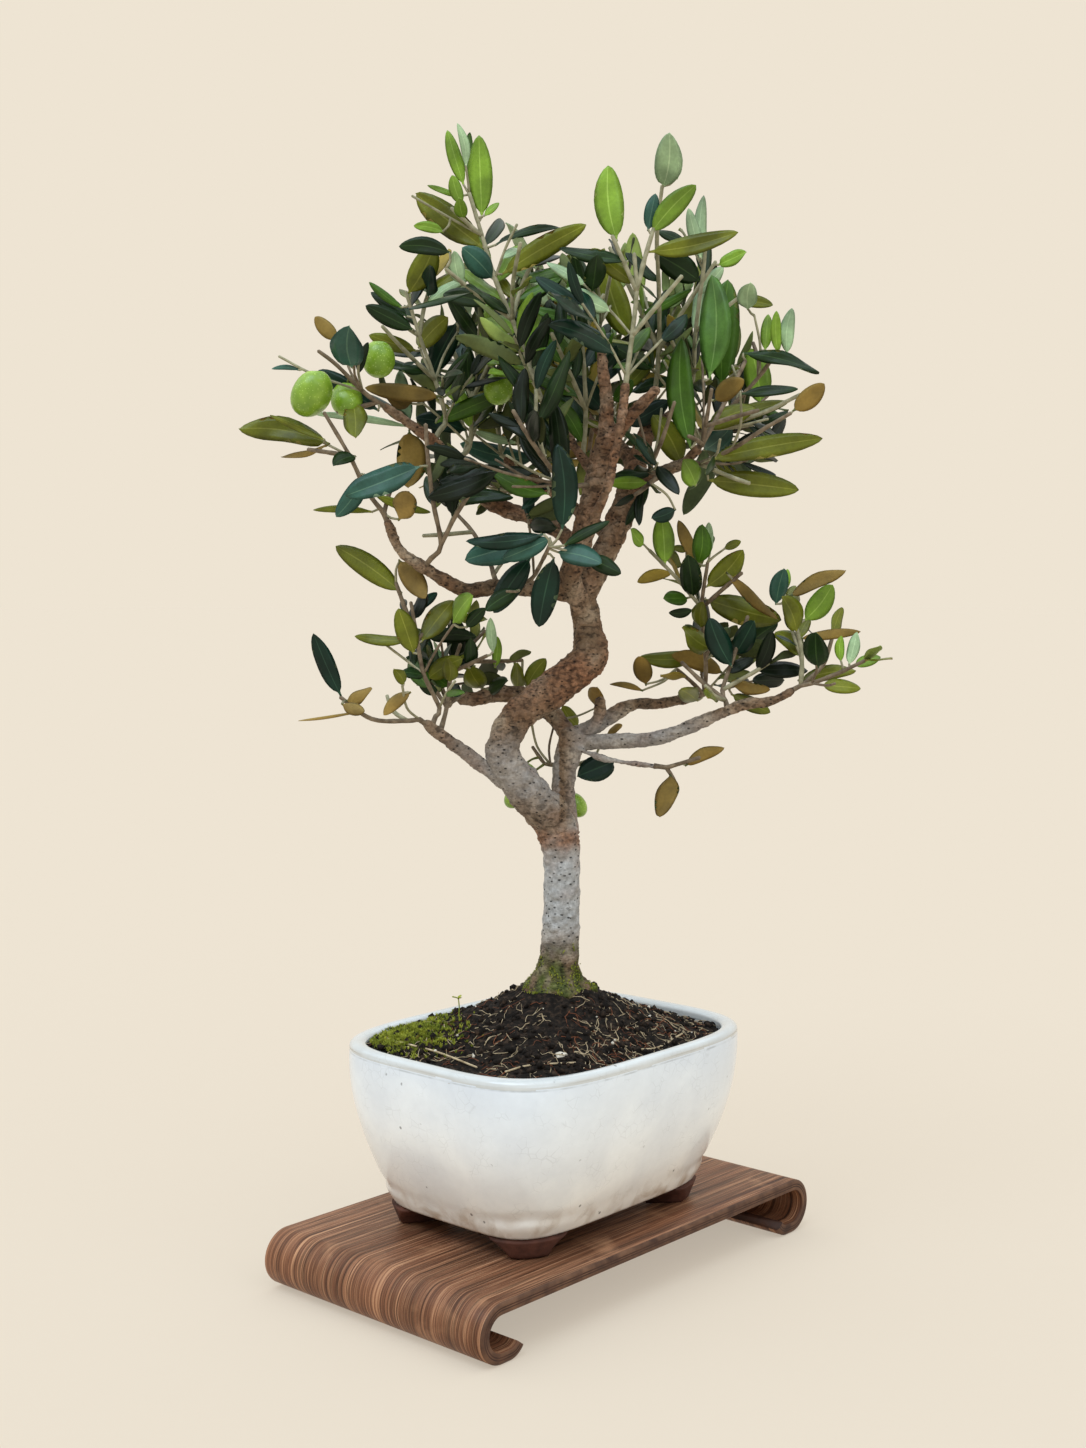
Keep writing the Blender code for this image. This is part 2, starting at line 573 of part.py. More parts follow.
def tube(name, line, section, collection):
    """A tapering tube along the line (x, y, z, radius), as a closed mesh."""
    curve = bpy.data.curves.new(name, "CURVE")
    curve.dimensions = "3D"
    curve.bevel_mode = "OBJECT"
    curve.bevel_object = section
    curve.use_fill_caps = True
    spline = curve.splines.new("POLY")
    spline.points.add(len(line) - 1)
    for point, (x, y, z, radius) in zip(spline.points, line):
        point.co = (x * MM, y * MM, z * MM, 1)
        point.radius = radius
    guide = new_object(name + "_line", curve, collection)
    mesh = evaluated_mesh(guide)
    bpy.data.objects.remove(guide)
    shape = bmesh.new()
    shape.from_mesh(mesh)
    bmesh.ops.remove_doubles(shape, verts=shape.verts, dist=0.01 * MM)
    face_outwards(shape)
    shape.to_mesh(mesh)
    shape.free()
    return new_object(name, mesh, collection)


def keep_largest(mesh):
    """Drop loose scraps and sealed hollows: only the body with the most faces stays."""
    shape = bmesh.new()
    shape.from_mesh(mesh)
    left = set(shape.faces)
    bodies = []
    while left:
        body = [left.pop()]
        for face in body:
            for edge in face.edges:
                fresh = [other for other in edge.link_faces if other in left]
                left.difference_update(fresh)
                body.extend(fresh)
        bodies.append(body)
    bodies.sort(key=len)
    for body in bodies[:-1]:
        bmesh.ops.delete(shape, geom=body, context="FACES")
    shape.to_mesh(mesh)
    shape.free()


def cut(thing, cutter):
    """Take the cutter's volume from the object and remove the cutter."""
    boolean = thing.modifiers.new("cut", "BOOLEAN")
    boolean.operation = "DIFFERENCE"
    boolean.object = cutter
    replace_mesh(thing, evaluated_mesh(thing))
    bpy.data.objects.remove(cutter)


def shade(thing, finish, sharp=35.0):
    """Round pieces are smooth except at real edges."""
    thing.data.materials.clear()
    thing.data.materials.append(finish)
    thing.data.shade_smooth()
    thing.data.set_sharp_from_angle(angle=math.radians(sharp))


def outset(line):
    """The line of a tube that is larger by the gap all round and at both ends."""
    wide = line + np.array((0, 0, 0, GAP / math.cos(math.pi / BOUGH_SIDES)))
    wide[0, :3] -= unit(line[1, :3] - line[0, :3]) * GAP
    wide[-1, :3] += unit(line[-1, :3] - line[-2, :3]) * GAP
    return wide


def make_limbs(parts, cutters, sections, tree):
    """The trunk and boughs, each cut back by the limbs that carry it or cross it."""
    bark = material("bark", BARK, 0.85)
    done = []
    for name, limb in LIMBS.items():
        line = bough_line(name)
        made = tube(name, line, sections[limb.sides], parts)
        if name == "trunk":
            spread_flare(made.data)
        for other in done:
            other_line = bough_line(other)
            apart = Lines([other_line]).clearance(smooth(line, 2.0)[:, :3]) - limb.stations[0][3]
            if apart.min() > LIMB_NEAR:
                continue
            cut(made, tube("cutter", outset(other_line), sections[LIMBS[other].sides], cutters))
            keep_largest(made.data)
        shade(made, bark)
        made.parent = tree
        done.append(name)


def spread_flare(mesh):
    """Draw the trunk's foot out into low root lobes."""
    foot_x, foot_y = LIMBS["trunk"].stations[0][:2]
    height = FLARE_TOP_Z - SOIL_TOP_Z
    for vertex in mesh.vertices:
        above = vertex.co.z / MM - SOIL_TOP_Z
        if above > height:
            continue
        fade = (1 - above / height) ** 2
        x = vertex.co.x / MM - foot_x
        y = vertex.co.y / MM - foot_y
        grow = 1 + FLARE_DEPTH * fade * math.cos(FLARE_LOBES * math.atan2(y, x))
        vertex.co.x = (foot_x + x * grow) * MM
        vertex.co.y = (foot_y + y * grow) * MM


def leaf_mesh(leaf):
    """A leaf as a thin blade of eight faces, highest where it is widest."""
    shape = bmesh.new()
    bmesh.ops.create_cone(shape, cap_ends=True, cap_tris=True, segments=len(LEAF_OUTLINE),
                          radius1=1, radius2=0, depth=2)
    rim = [vertex for vertex in shape.verts if vertex.co.xy.length > 0.5]
    rim.sort(key=lambda vertex: math.atan2(vertex.co.y, vertex.co.x))
    for vertex in shape.verts:
        if vertex not in rim:
            lift = LEAF_THICK / 2 if vertex.co.z > 0 else -LEAF_THICK / 2
            vertex.co = Vector(leaf_point(leaf, LEAF_WIDE_AT, 0.0, lift)) * MM
    for vertex, (u, v) in zip(rim, LEAF_OUTLINE):
        vertex.co = Vector(leaf_point(leaf, u, v)) * MM
    face_outwards(shape)
    mesh = bpy.data.meshes.new("leaf")
    shape.to_mesh(mesh)
    shape.free()
    return mesh


def olive_mesh(centre, radius):
    """An olive, a little longer than wide."""
    shape = bmesh.new()
    place = Matrix.Translation(Vector(centre) * MM) @ Matrix.Diagonal((1, 1, OLIVE_LENGTH, 1))
    bmesh.ops.create_uvsphere(shape, u_segments=8, v_segments=6, radius=radius * MM, matrix=place)
    mesh = bpy.data.meshes.new("olive")
    shape.to_mesh(mesh)
    shape.free()
    return mesh


def stalk_line(twigs, olive):
    """An olive's stalk: from the nearest point of the twigs into the olive."""
    centre = np.array(olive[:3], float)
    points = np.vstack([smooth(line, 3.0)[3:, :3] for line in twigs])
    root = points[np.argmin(np.linalg.norm(points - centre, axis=1))]
    return np.array([(*root, TIP_RADIUS), (*(root + (centre - root) * STALK_REACH), TIP_RADIUS)])


def make_masses(parts, sections, tree):
    """One mass of twigs, leaves and olives for each shoot."""
    twigs = grow_twigs()
    green = material("foliage", (0.09, 0.16, 0.05, 1.0), 0.5)
    total = 0
    for name, shoot in SHOOTS.items():
        pieces = bpy.data.collections.new("pieces")
        bpy.context.scene.collection.children.link(pieces)
        mass = tube(name, twigs[name][0], sections[TWIG_SIDES], parts)
        for line in twigs[name][1:]:
            tube("fork", line, sections[TWIG_SIDES], pieces)
        for olive in shoot.fruit:
            tube("stalk", stalk_line(twigs[name], olive), sections[TWIG_SIDES], pieces)
            new_object("olive", olive_mesh(olive[:3], olive[3]), pieces)
        leaves = grow_leaves(name, twigs)
        total += len(leaves)
        for leaf in leaves:
            new_object("leaf", leaf_mesh(leaf), pieces)
        join = mass.modifiers.new("join", "BOOLEAN")
        join.operation = "UNION"
        join.operand_type = "COLLECTION"
        join.collection = pieces
        join.solver = "MANIFOLD"
        replace_mesh(mass, evaluated_mesh(mass))
        for piece in list(pieces.objects):
            bpy.data.objects.remove(piece)
        bpy.data.collections.remove(pieces)
        keep_largest(mass.data)
        shade(mass, green, 20.0)
        mass.parent = tree
        print(name, len(leaves), "leaves", len(twigs[name]), "twigs", len(mass.data.polygons), "faces")
    print("leaves in all", total)


def oval(centre, half, square, z, count=RING_POINTS):
    """A ring of points on a superellipse: a rounded rectangle, or an oval where square is 2."""
    ring = []
    for index in range(count):
        angle = 2 * math.pi * (index + 0.5) / count
        across = math.copysign(abs(math.cos(angle)) ** (2 / square), math.cos(angle))
        along = math.copysign(abs(math.sin(angle)) ** (2 / square), math.sin(angle))
        ring.append((centre[0] + half[0] * across, centre[1] + half[1] * along, z))
    return ring


def loft(name, rings, collection):
    """A closed body through rings of equal count, capped at the first and last."""
    shape = bmesh.new()
    rows = [[shape.verts.new(Vector(point) * MM) for point in ring] for ring in rings]
    for lower, upper in zip(rows, rows[1:]):
        for index in range(len(lower)):
            after = (index + 1) % len(lower)
            shape.faces.new((lower[index], lower[after], upper[after], upper[index]))
    shape.faces.new(rows[0][::-1])
    shape.faces.new(rows[-1])
    face_outwards(shape)
    mesh = bpy.data.meshes.new(name)
    shape.to_mesh(mesh)
    shape.free()
    return new_object(name, mesh, collection)


def pot_half(z, inset=0.0):
    """Half the pot's length and width at a height, and how square it is there."""
    share = min(max((z - POT_BASE_Z) / (RIM_Z - RIM_ROUND - POT_BASE_Z), 0.0), 1.0)
    swell = math.sin(share * math.pi / 2)
    half = [base + (rim - base) * swell - inset for base, rim in zip(BASE_HALF, RIM_HALF)]
    return half, BASE_SQUARE + (RIM_SQUARE - BASE_SQUARE) * share


def fill_levels():
    """The heights at which the pot's inside and the soil in it have their rings."""
    floor = POT_BASE_Z + POT_FLOOR
    return [floor + (SOIL_EDGE_Z - floor) * share for share in FILL_SHARES]


def pot_ring(z, inset=0.0):
    """The pot's outline at a height, drawn in by the inset."""
    half, square = pot_half(z, inset)
    return oval(POT_CENTRE, half, square, z)


def make_pot(parts, cutters):
    """The glazed bowl: up the outside, over a rounded rim and down the inside."""
    glaze = material("glaze", (0.80, 0.79, 0.75, 1.0), 0.25)
    low = RIM_Z - RIM_ROUND
    edge = POT_BASE_Z + BASE_ROUND
    rings = [pot_ring(POT_BASE_Z, BASE_ROUND)]
    for step in range(SIDE_RINGS + 1):
        rings.append(pot_ring(edge + (low - edge) * (step / SIDE_RINGS) ** 1.3))
    half, square = pot_half(low)
    for step in range(1, LIP_RINGS):
        angle = math.pi * step / LIP_RINGS
        inset = WALL / 2 * (1 - math.cos(angle))
        lip = [size - inset for size in half]
        rings.append(oval(POT_CENTRE, lip, square, low + RIM_ROUND * math.sin(angle)))
    rings.append(pot_ring(low, WALL))
    rings += [pot_ring(z, WALL) for z in fill_levels()[::-1]]
    pot = loft("pot", rings, parts)
    bpy.ops.mesh.primitive_cylinder_add(vertices=16, radius=DRAIN_RADIUS * MM, depth=4 * POT_FLOOR * MM)
    drain = bpy.context.object
    drain.location = Vector((*POT_CENTRE, POT_BASE_Z)) * MM
    drain.hide_render = True
    drain.display_type = "WIRE"
    cut(pot, drain)
    shade(pot, glaze, 50.0)
    return pot


def make_soil(parts):
    """Soil that fills the pot and rises to a flat seat under the trunk."""
    earth = material("soil", (0.035, 0.025, 0.018, 1.0), 0.95)
    inset = WALL + GAP
    levels = fill_levels()
    levels[0] += GAP
    rings = [pot_ring(z, inset) for z in levels]
    half, square = pot_half(SOIL_EDGE_Z, inset)
    for share in MOUND_SHARES:
        centre = [a + (b - a) * share for a, b in zip(POT_CENTRE, TREE_FOOT)]
        size = [a + (SOIL_SEAT - a) * share for a in half]
        rise = (SOIL_TOP_Z - SOIL_EDGE_Z) * share ** MOUND_POWER
        rings.append(oval(centre, size, square + (2 - square) * share, SOIL_EDGE_Z + rise))
    soil = loft("soil", rings, parts)
    shade(soil, earth, 40.0)
    return soil


def make_feet(parts):
    """Four bracket feet that follow the pot's corners, wide above and narrow below."""
    clay = material("clay", (0.09, 0.045, 0.03, 1.0), 0.8)
    half, square = pot_half(POT_BASE_Z)
    diagonal = math.degrees(math.atan2(half[1], half[0]))
    feet = []
    for name, turn in (("foot_right_back", diagonal), ("foot_left_back", 180 - diagonal),
                       ("foot_left_front", 180 + diagonal), ("foot_right_front", -diagonal)):
        rings = []
        for share in (0.0, 0.5, 1.0):
            z = STAND_HEIGHT + GAP + (POT_BASE_Z - STAND_HEIGHT - 2 * GAP) * share
            span = FOOT_SPAN_BOTTOM + (FOOT_SPAN_TOP - FOOT_SPAN_BOTTOM) * share ** FOOT_FLARE
            outer = FOOT_PROUD - FOOT_LEAN * (1 - share)
            rings.append(foot_ring(half, square, turn, span, outer, z))
        foot = loft(name, rings, parts)
        shade(foot, clay, 40.0)
        feet.append(foot)
    return feet


def foot_ring(half, square, turn, span, outer, z):
    """A foot's outline at a height: out along the pot's corner and back inside it."""
    steps = FOOT_POINTS - 1
    angles = [math.radians(turn + span * (index / steps - 0.5)) for index in range(FOOT_POINTS)]
    ring = []
    for grow, sweep in ((outer, angles), (-FOOT_DEPTH, angles[::-1])):
        for angle in sweep:
            x, y = math.cos(angle), math.sin(angle)
            a, b = half[0] + grow, half[1] + grow
            reach = (abs(x / a) ** square + abs(y / b) ** square) ** (-1 / square)
            ring.append((POT_CENTRE[0] + x * reach, POT_CENTRE[1] + y * reach, z))
    return ring


def stand_path():
    """Half of the middle line of the stand's sheet in X and Z, from the deck's middle to the lip."""
    radius = (STAND_HEIGHT - PLY) / 2
    bend_x = (STAND_LENGTH - PLY) / 2 - radius
    points = [(0.0, STAND_HEIGHT - PLY / 2)]
    for step in range(13):
        angle = math.pi / 2 - math.pi * step / 12
        points.append((bend_x + radius * math.cos(angle), STAND_HEIGHT / 2 + radius * math.sin(angle)))
    flat_x = bend_x - CURL_FLAT
    for step in range(6):
        angle = math.radians(CURL_ANGLE * step / 5)
        x = flat_x - CURL_RADIUS * math.sin(angle)
        points.append((x, PLY / 2 + CURL_RADIUS * (1 - math.cos(angle))))
    return points


def make_stand(parts):
    """The bent ply sheet: its middle line drawn across the width, mirrored and thickened."""
    walnut = material("walnut", (0.17, 0.08, 0.045, 1.0), 0.45)
    shape = bmesh.new()
    path = [shape.verts.new((x * MM, -STAND_WIDTH / 2 * MM, z * MM)) for x, z in stand_path()]
    edges = [shape.edges.new(pair) for pair in zip(path, path[1:])]
    swept = bmesh.ops.extrude_edge_only(shape, edges=edges)["geom"]
    moved = [item for item in swept if isinstance(item, bmesh.types.BMVert)]
    bmesh.ops.translate(shape, verts=moved, vec=(0, STAND_WIDTH * MM, 0))
    mesh = bpy.data.meshes.new("stand")
    shape.to_mesh(mesh)
    shape.free()
    stand = new_object("stand", mesh, parts)
    mirror = stand.modifiers.new("other end", "MIRROR")
    mirror.merge_threshold = 0.00005
    ply = stand.modifiers.new("ply", "SOLIDIFY")
    ply.thickness = PLY * MM
    ply.offset = 0.0
    ply.use_even_offset = True
    replace_mesh(stand, evaluated_mesh(stand))
    shape = bmesh.new()
    shape.from_mesh(stand.data)
    face_outwards(shape)
    shape.to_mesh(stand.data)
    shape.free()
    shade(stand, walnut, 30.0)
    return stand


def centre_on_floor(root, parts):
    """Move the root so that the whole stands on the floor with its box centred on the origin."""
    bpy.context.view_layer.update()
    corners = []
    for part in parts.objects:
        if part.type == "MESH":
            corners += [part.matrix_world @ vertex.co for vertex in part.data.vertices]
    low = [min(corner[axis] for corner in corners) for axis in range(3)]
    high = [max(corner[axis] for corner in corners) for axis in range(3)]
    root.location = (-(low[0] + high[0]) / 2, -(low[1] + high[1]) / 2, -low[2])
    bpy.context.view_layer.update()
    print("box", [round((b - a) / MM, 1) for a, b in zip(low, high)])


def main():
    for thing in list(bpy.data.objects):
        bpy.data.objects.remove(thing)
    parts = bpy.data.collections.new("olive_bonsai")
    cutters = bpy.data.collections.new("cutters")
    for collection in (parts, cutters):
        bpy.context.scene.collection.children.link(collection)
    root = new_object("olive_bonsai", None, parts)
    tree = new_object("olive_tree", None, parts)
    tree.parent = root
    tree.location = Vector((*TREE_FOOT, 0)) * MM
    tree.rotation_euler.z = math.radians(TREE_TURN)
    counts = {limb.sides for limb in LIMBS.values()} | {TWIG_SIDES}
    sections = {sides: polygon_curve(sides, cutters) for sides in sorted(counts)}
    make_limbs(parts, cutters, sections, tree)
    make_masses(parts, sections, tree)
    for part in (make_stand(parts), make_pot(parts, cutters), make_soil(parts), *make_feet(parts)):
        part.parent = root
    centre_on_floor(root, parts)


main()
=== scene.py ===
"""Looks of the olive bonsai: its bark, twigs, leaves, olives, soil, glazed pot, clay feet and stand.

Lengths are in millimetres until a mesh is made.  Two sets of axes are used, as in the part's source: the
stand's, with X along its length, and the tree's, which stand on the floor under the trunk's foot, with x
to the right of the tree's front, y away from its front and z up.
"""

import math
import random
from collections import namedtuple

import bmesh
import bpy
import numpy as np
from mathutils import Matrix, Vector, noise


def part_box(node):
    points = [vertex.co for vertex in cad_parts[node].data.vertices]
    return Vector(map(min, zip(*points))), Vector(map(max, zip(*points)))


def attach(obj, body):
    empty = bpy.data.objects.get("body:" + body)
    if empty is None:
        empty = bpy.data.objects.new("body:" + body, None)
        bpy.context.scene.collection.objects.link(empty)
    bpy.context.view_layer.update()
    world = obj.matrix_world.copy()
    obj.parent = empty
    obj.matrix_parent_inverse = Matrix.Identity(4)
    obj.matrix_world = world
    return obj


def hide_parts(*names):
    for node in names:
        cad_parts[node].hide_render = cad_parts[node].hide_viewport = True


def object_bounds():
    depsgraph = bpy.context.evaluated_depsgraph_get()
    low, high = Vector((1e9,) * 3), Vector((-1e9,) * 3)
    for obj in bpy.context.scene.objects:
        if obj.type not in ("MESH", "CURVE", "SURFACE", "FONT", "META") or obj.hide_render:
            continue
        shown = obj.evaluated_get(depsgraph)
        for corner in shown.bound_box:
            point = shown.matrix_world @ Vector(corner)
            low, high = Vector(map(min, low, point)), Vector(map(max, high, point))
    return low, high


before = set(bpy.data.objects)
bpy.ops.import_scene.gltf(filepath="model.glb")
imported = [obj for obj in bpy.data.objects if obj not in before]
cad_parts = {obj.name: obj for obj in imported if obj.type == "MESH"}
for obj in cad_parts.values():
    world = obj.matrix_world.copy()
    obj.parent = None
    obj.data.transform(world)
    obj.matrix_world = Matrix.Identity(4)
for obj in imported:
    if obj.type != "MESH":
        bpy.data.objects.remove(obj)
CAD_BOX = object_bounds()

MM = 0.001

# The part's own sizes, written again here.
STAND_LENGTH = 240.0
STAND_WIDTH = 139.0
STAND_HEIGHT = 26.6
PLY = 5.4
CURL_FLAT = 5.0
CURL_RADIUS = 7.5
CURL_ANGLE = 55.0
POT_CENTRE = (-5.7, -3.7)
RIM_HALF = (87.5, 70.0)
BASE_HALF = (68.2, 48.6)
RIM_SQUARE = 3.9
BASE_SQUARE = 5.0
POT_BASE_Z = 35.9
RIM_Z = 113.4
RIM_ROUND = 2.6
WALL = 6.9
POT_FLOOR = 7.0
FOOT_DEPTH = 15.0
FOOT_PROUD = 1.5
FOOT_LEAN = 3.0
FOOT_FLARE = 1.6
FOOT_SPAN_TOP = 30.0
FOOT_SPAN_BOTTOM = 15.0
SOIL_EDGE_Z = 107.5
SOIL_TOP_Z = 132.0
SOIL_SEAT = 16.5
MOUND_POWER = 1.25
TREE_FOOT = (2.0, -2.0)
TREE_TURN = -48.08
FLARE_LOBES = 5
FLARE_DEPTH = 0.13
FLARE_TOP_Z = 147.0
GAP = 0.3

# The camera: where it stands from the middle of the stand, and the photo's frame and focal length in
# pixels.
CAMERA_AT = (-648.7, -578.4, 321.4)
CAMERA_DOWN = 4.1
PHOTO_SIZE = (1086, 1448)
FOCAL_PX = 1831.2
SENSOR = 36.0

# The camera's view and its upright, on the tree's axes.
DOWN = math.radians(CAMERA_DOWN)
AHEAD = np.array((0, math.cos(DOWN), -math.sin(DOWN)))
ABOVE = np.array((0, math.sin(DOWN), math.cos(DOWN)))

Limb = namedtuple("Limb", "stations")

# Each limb: stations (x, y, z, radius) on the tree's axes, from inside the limb that carries it to its tip.
LIMBS = {
    "trunk": Limb([
        (1, 0, SOIL_TOP_Z + GAP, 14.0), (1, 0, 138, 11.2), (2, 0, 146, 9.4), (3, 0, 170, 8.8),
        (3, 0, 196, 8.8), (0, -1, 211, 10.0), (-15, -7, 230, 9.2), (-25, -12, 247, 7.8),
        (-19, -10, 262, 7.8), (2, -2, 278, 8.7), (17, 4, 292, 8.4), (15, 5, 307, 6.9),
        (13, 4, 319, 6.6), (23, 6, 340, 6.1), (33, 12, 362, 6.3), (40, 21, 385, 5.0),
        (47, 30, 409, 3.6)]),
    "right_stem": Limb([
        (6, 4, 205, 6.0), (4, 9, 221, 5.9), (5, 13, 237, 5.9), (9, 17, 253, 6.6)]),
    "back_left_bough": Limb([
        (9, 18, 249, 4.0), (-2, 25, 263, 4.4), (-14, 28, 270, 4.6), (-28, 24, 272, 4.0),
        (-38, 20, 270, 3.5), (-46, 17, 270, 3.0)]),
    "low_right_bough": Limb([
        (9, 16, 248, 3.8), (30, 12, 250, 3.8), (50, 6, 252, 3.3), (69, 0, 260, 3.0),
        (90, -6, 269, 2.7), (103, -8, 271, 2.3), (112, -9, 276, 1.9)]),
    "high_right_bough": Limb([
        (9, 18, 252, 4.0), (24, 24, 259, 3.9), (37, 30, 266, 3.1), (55, 36, 267, 2.7),
        (71, 42, 270, 2.2)]),
    "under_right_bough": Limb([
        (9, 12, 247, 1.5), (24, 5, 242, 1.4), (38, 1, 240, 1.3), (49, -2, 239, 1.1)]),
    "knuckle_stub": Limb([
        (14, 18, 251, 3.3), (21, 16, 261, 3.1), (22, 14, 270, 2.9)]),
    "low_left_bough": Limb([
        (-22, -8, 231, 4.2), (-39, -14, 244, 3.3), (-51, -21, 254, 2.9), (-60, -26, 261, 2.5)]),
    "mid_left_bough": Limb([
        (12, 4, 320, 4.0), (-7, -8, 323, 4.0), (-26, -16, 324, 3.7), (-43, -22, 323, 3.4),
        (-56, -25, 330, 3.0), (-72, -28, 342, 2.5), (-77, -28, 354, 2.1)]),
    "fore_bough": Limb([
        (14, 4, 312, 5.0), (7, -10, 330, 5.2), (11, -17, 343, 5.3), (16, -23, 360, 5.6),
        (20, -28, 380, 5.1), (23, -31, 392, 4.6)]),
    "fore_stub": Limb([
        (22, -30, 388, 3.9), (23, -33, 407, 3.0), (20, -36, 430, 2.1)]),
    "fore_side_stub": Limb([
        (22, -30, 386, 3.2), (34, -37, 401, 2.8), (45, -44, 412, 2.3)]),
    "fore_leader": Limb([
        (15, -22, 350, 2.3), (23, -37, 368, 2.2), (28, -43, 392, 2.1), (31, -43, 414, 1.9)]),
    "high_left_bough": Limb([
        (11, -15, 340, 3.8), (2, -4, 350, 3.7), (-10, 4, 357, 3.8), (-26, 8, 362, 4.0),
        (-42, 8, 374, 3.6), (-56, 2, 391, 2.8), (-68, -8, 400, 2.2), (-79, -18, 407, 1.9)]),
    "left_leader_bough": Limb([
        (18, -26, 375, 2.4), (7, -24, 390, 2.2), (-5, -20, 408, 2.0)]),
    "right_crown_bough": Limb([
        (35, 14, 368, 3.0), (49, 10, 378, 2.8), (60, -4, 382, 2.5), (66, -12, 388, 2.1)]),
    "back_bough": Limb([
        (38, 18, 380, 3.4), (33, 34, 392, 3.0), (22, 50, 402, 2.5), (16, 58, 410, 2.2)]),
    "back_left_crown_bough": Limb([
        (26, 8, 348, 3.2), (10, 26, 362, 3.0), (-8, 42, 376, 2.6), (-24, 52, 388, 2.2)]),
    "back_right_crown_bough": Limb([
        (44, 26, 400, 2.6), (56, 38, 408, 2.4), (66, 50, 412, 2.1)]),
}

# Shoots: each carries one mass of leaves.  A shoot leaves its bough where the bough lies nearest to the
# first point of its route, and runs through the route to its tip.  forks are the tips of its named side
# twigs, more is how many further twigs the seed adds, leaf is the longest leaf, slim its width as a share
# of its length, pitch the distance between pairs of leaves, and fruit holds olives (x, y, z, radius).
Shoot = namedtuple("Shoot", "bough route forks more leaf slim pitch seed fruit spread vigour",
                   defaults=((), (20, 48), 0))

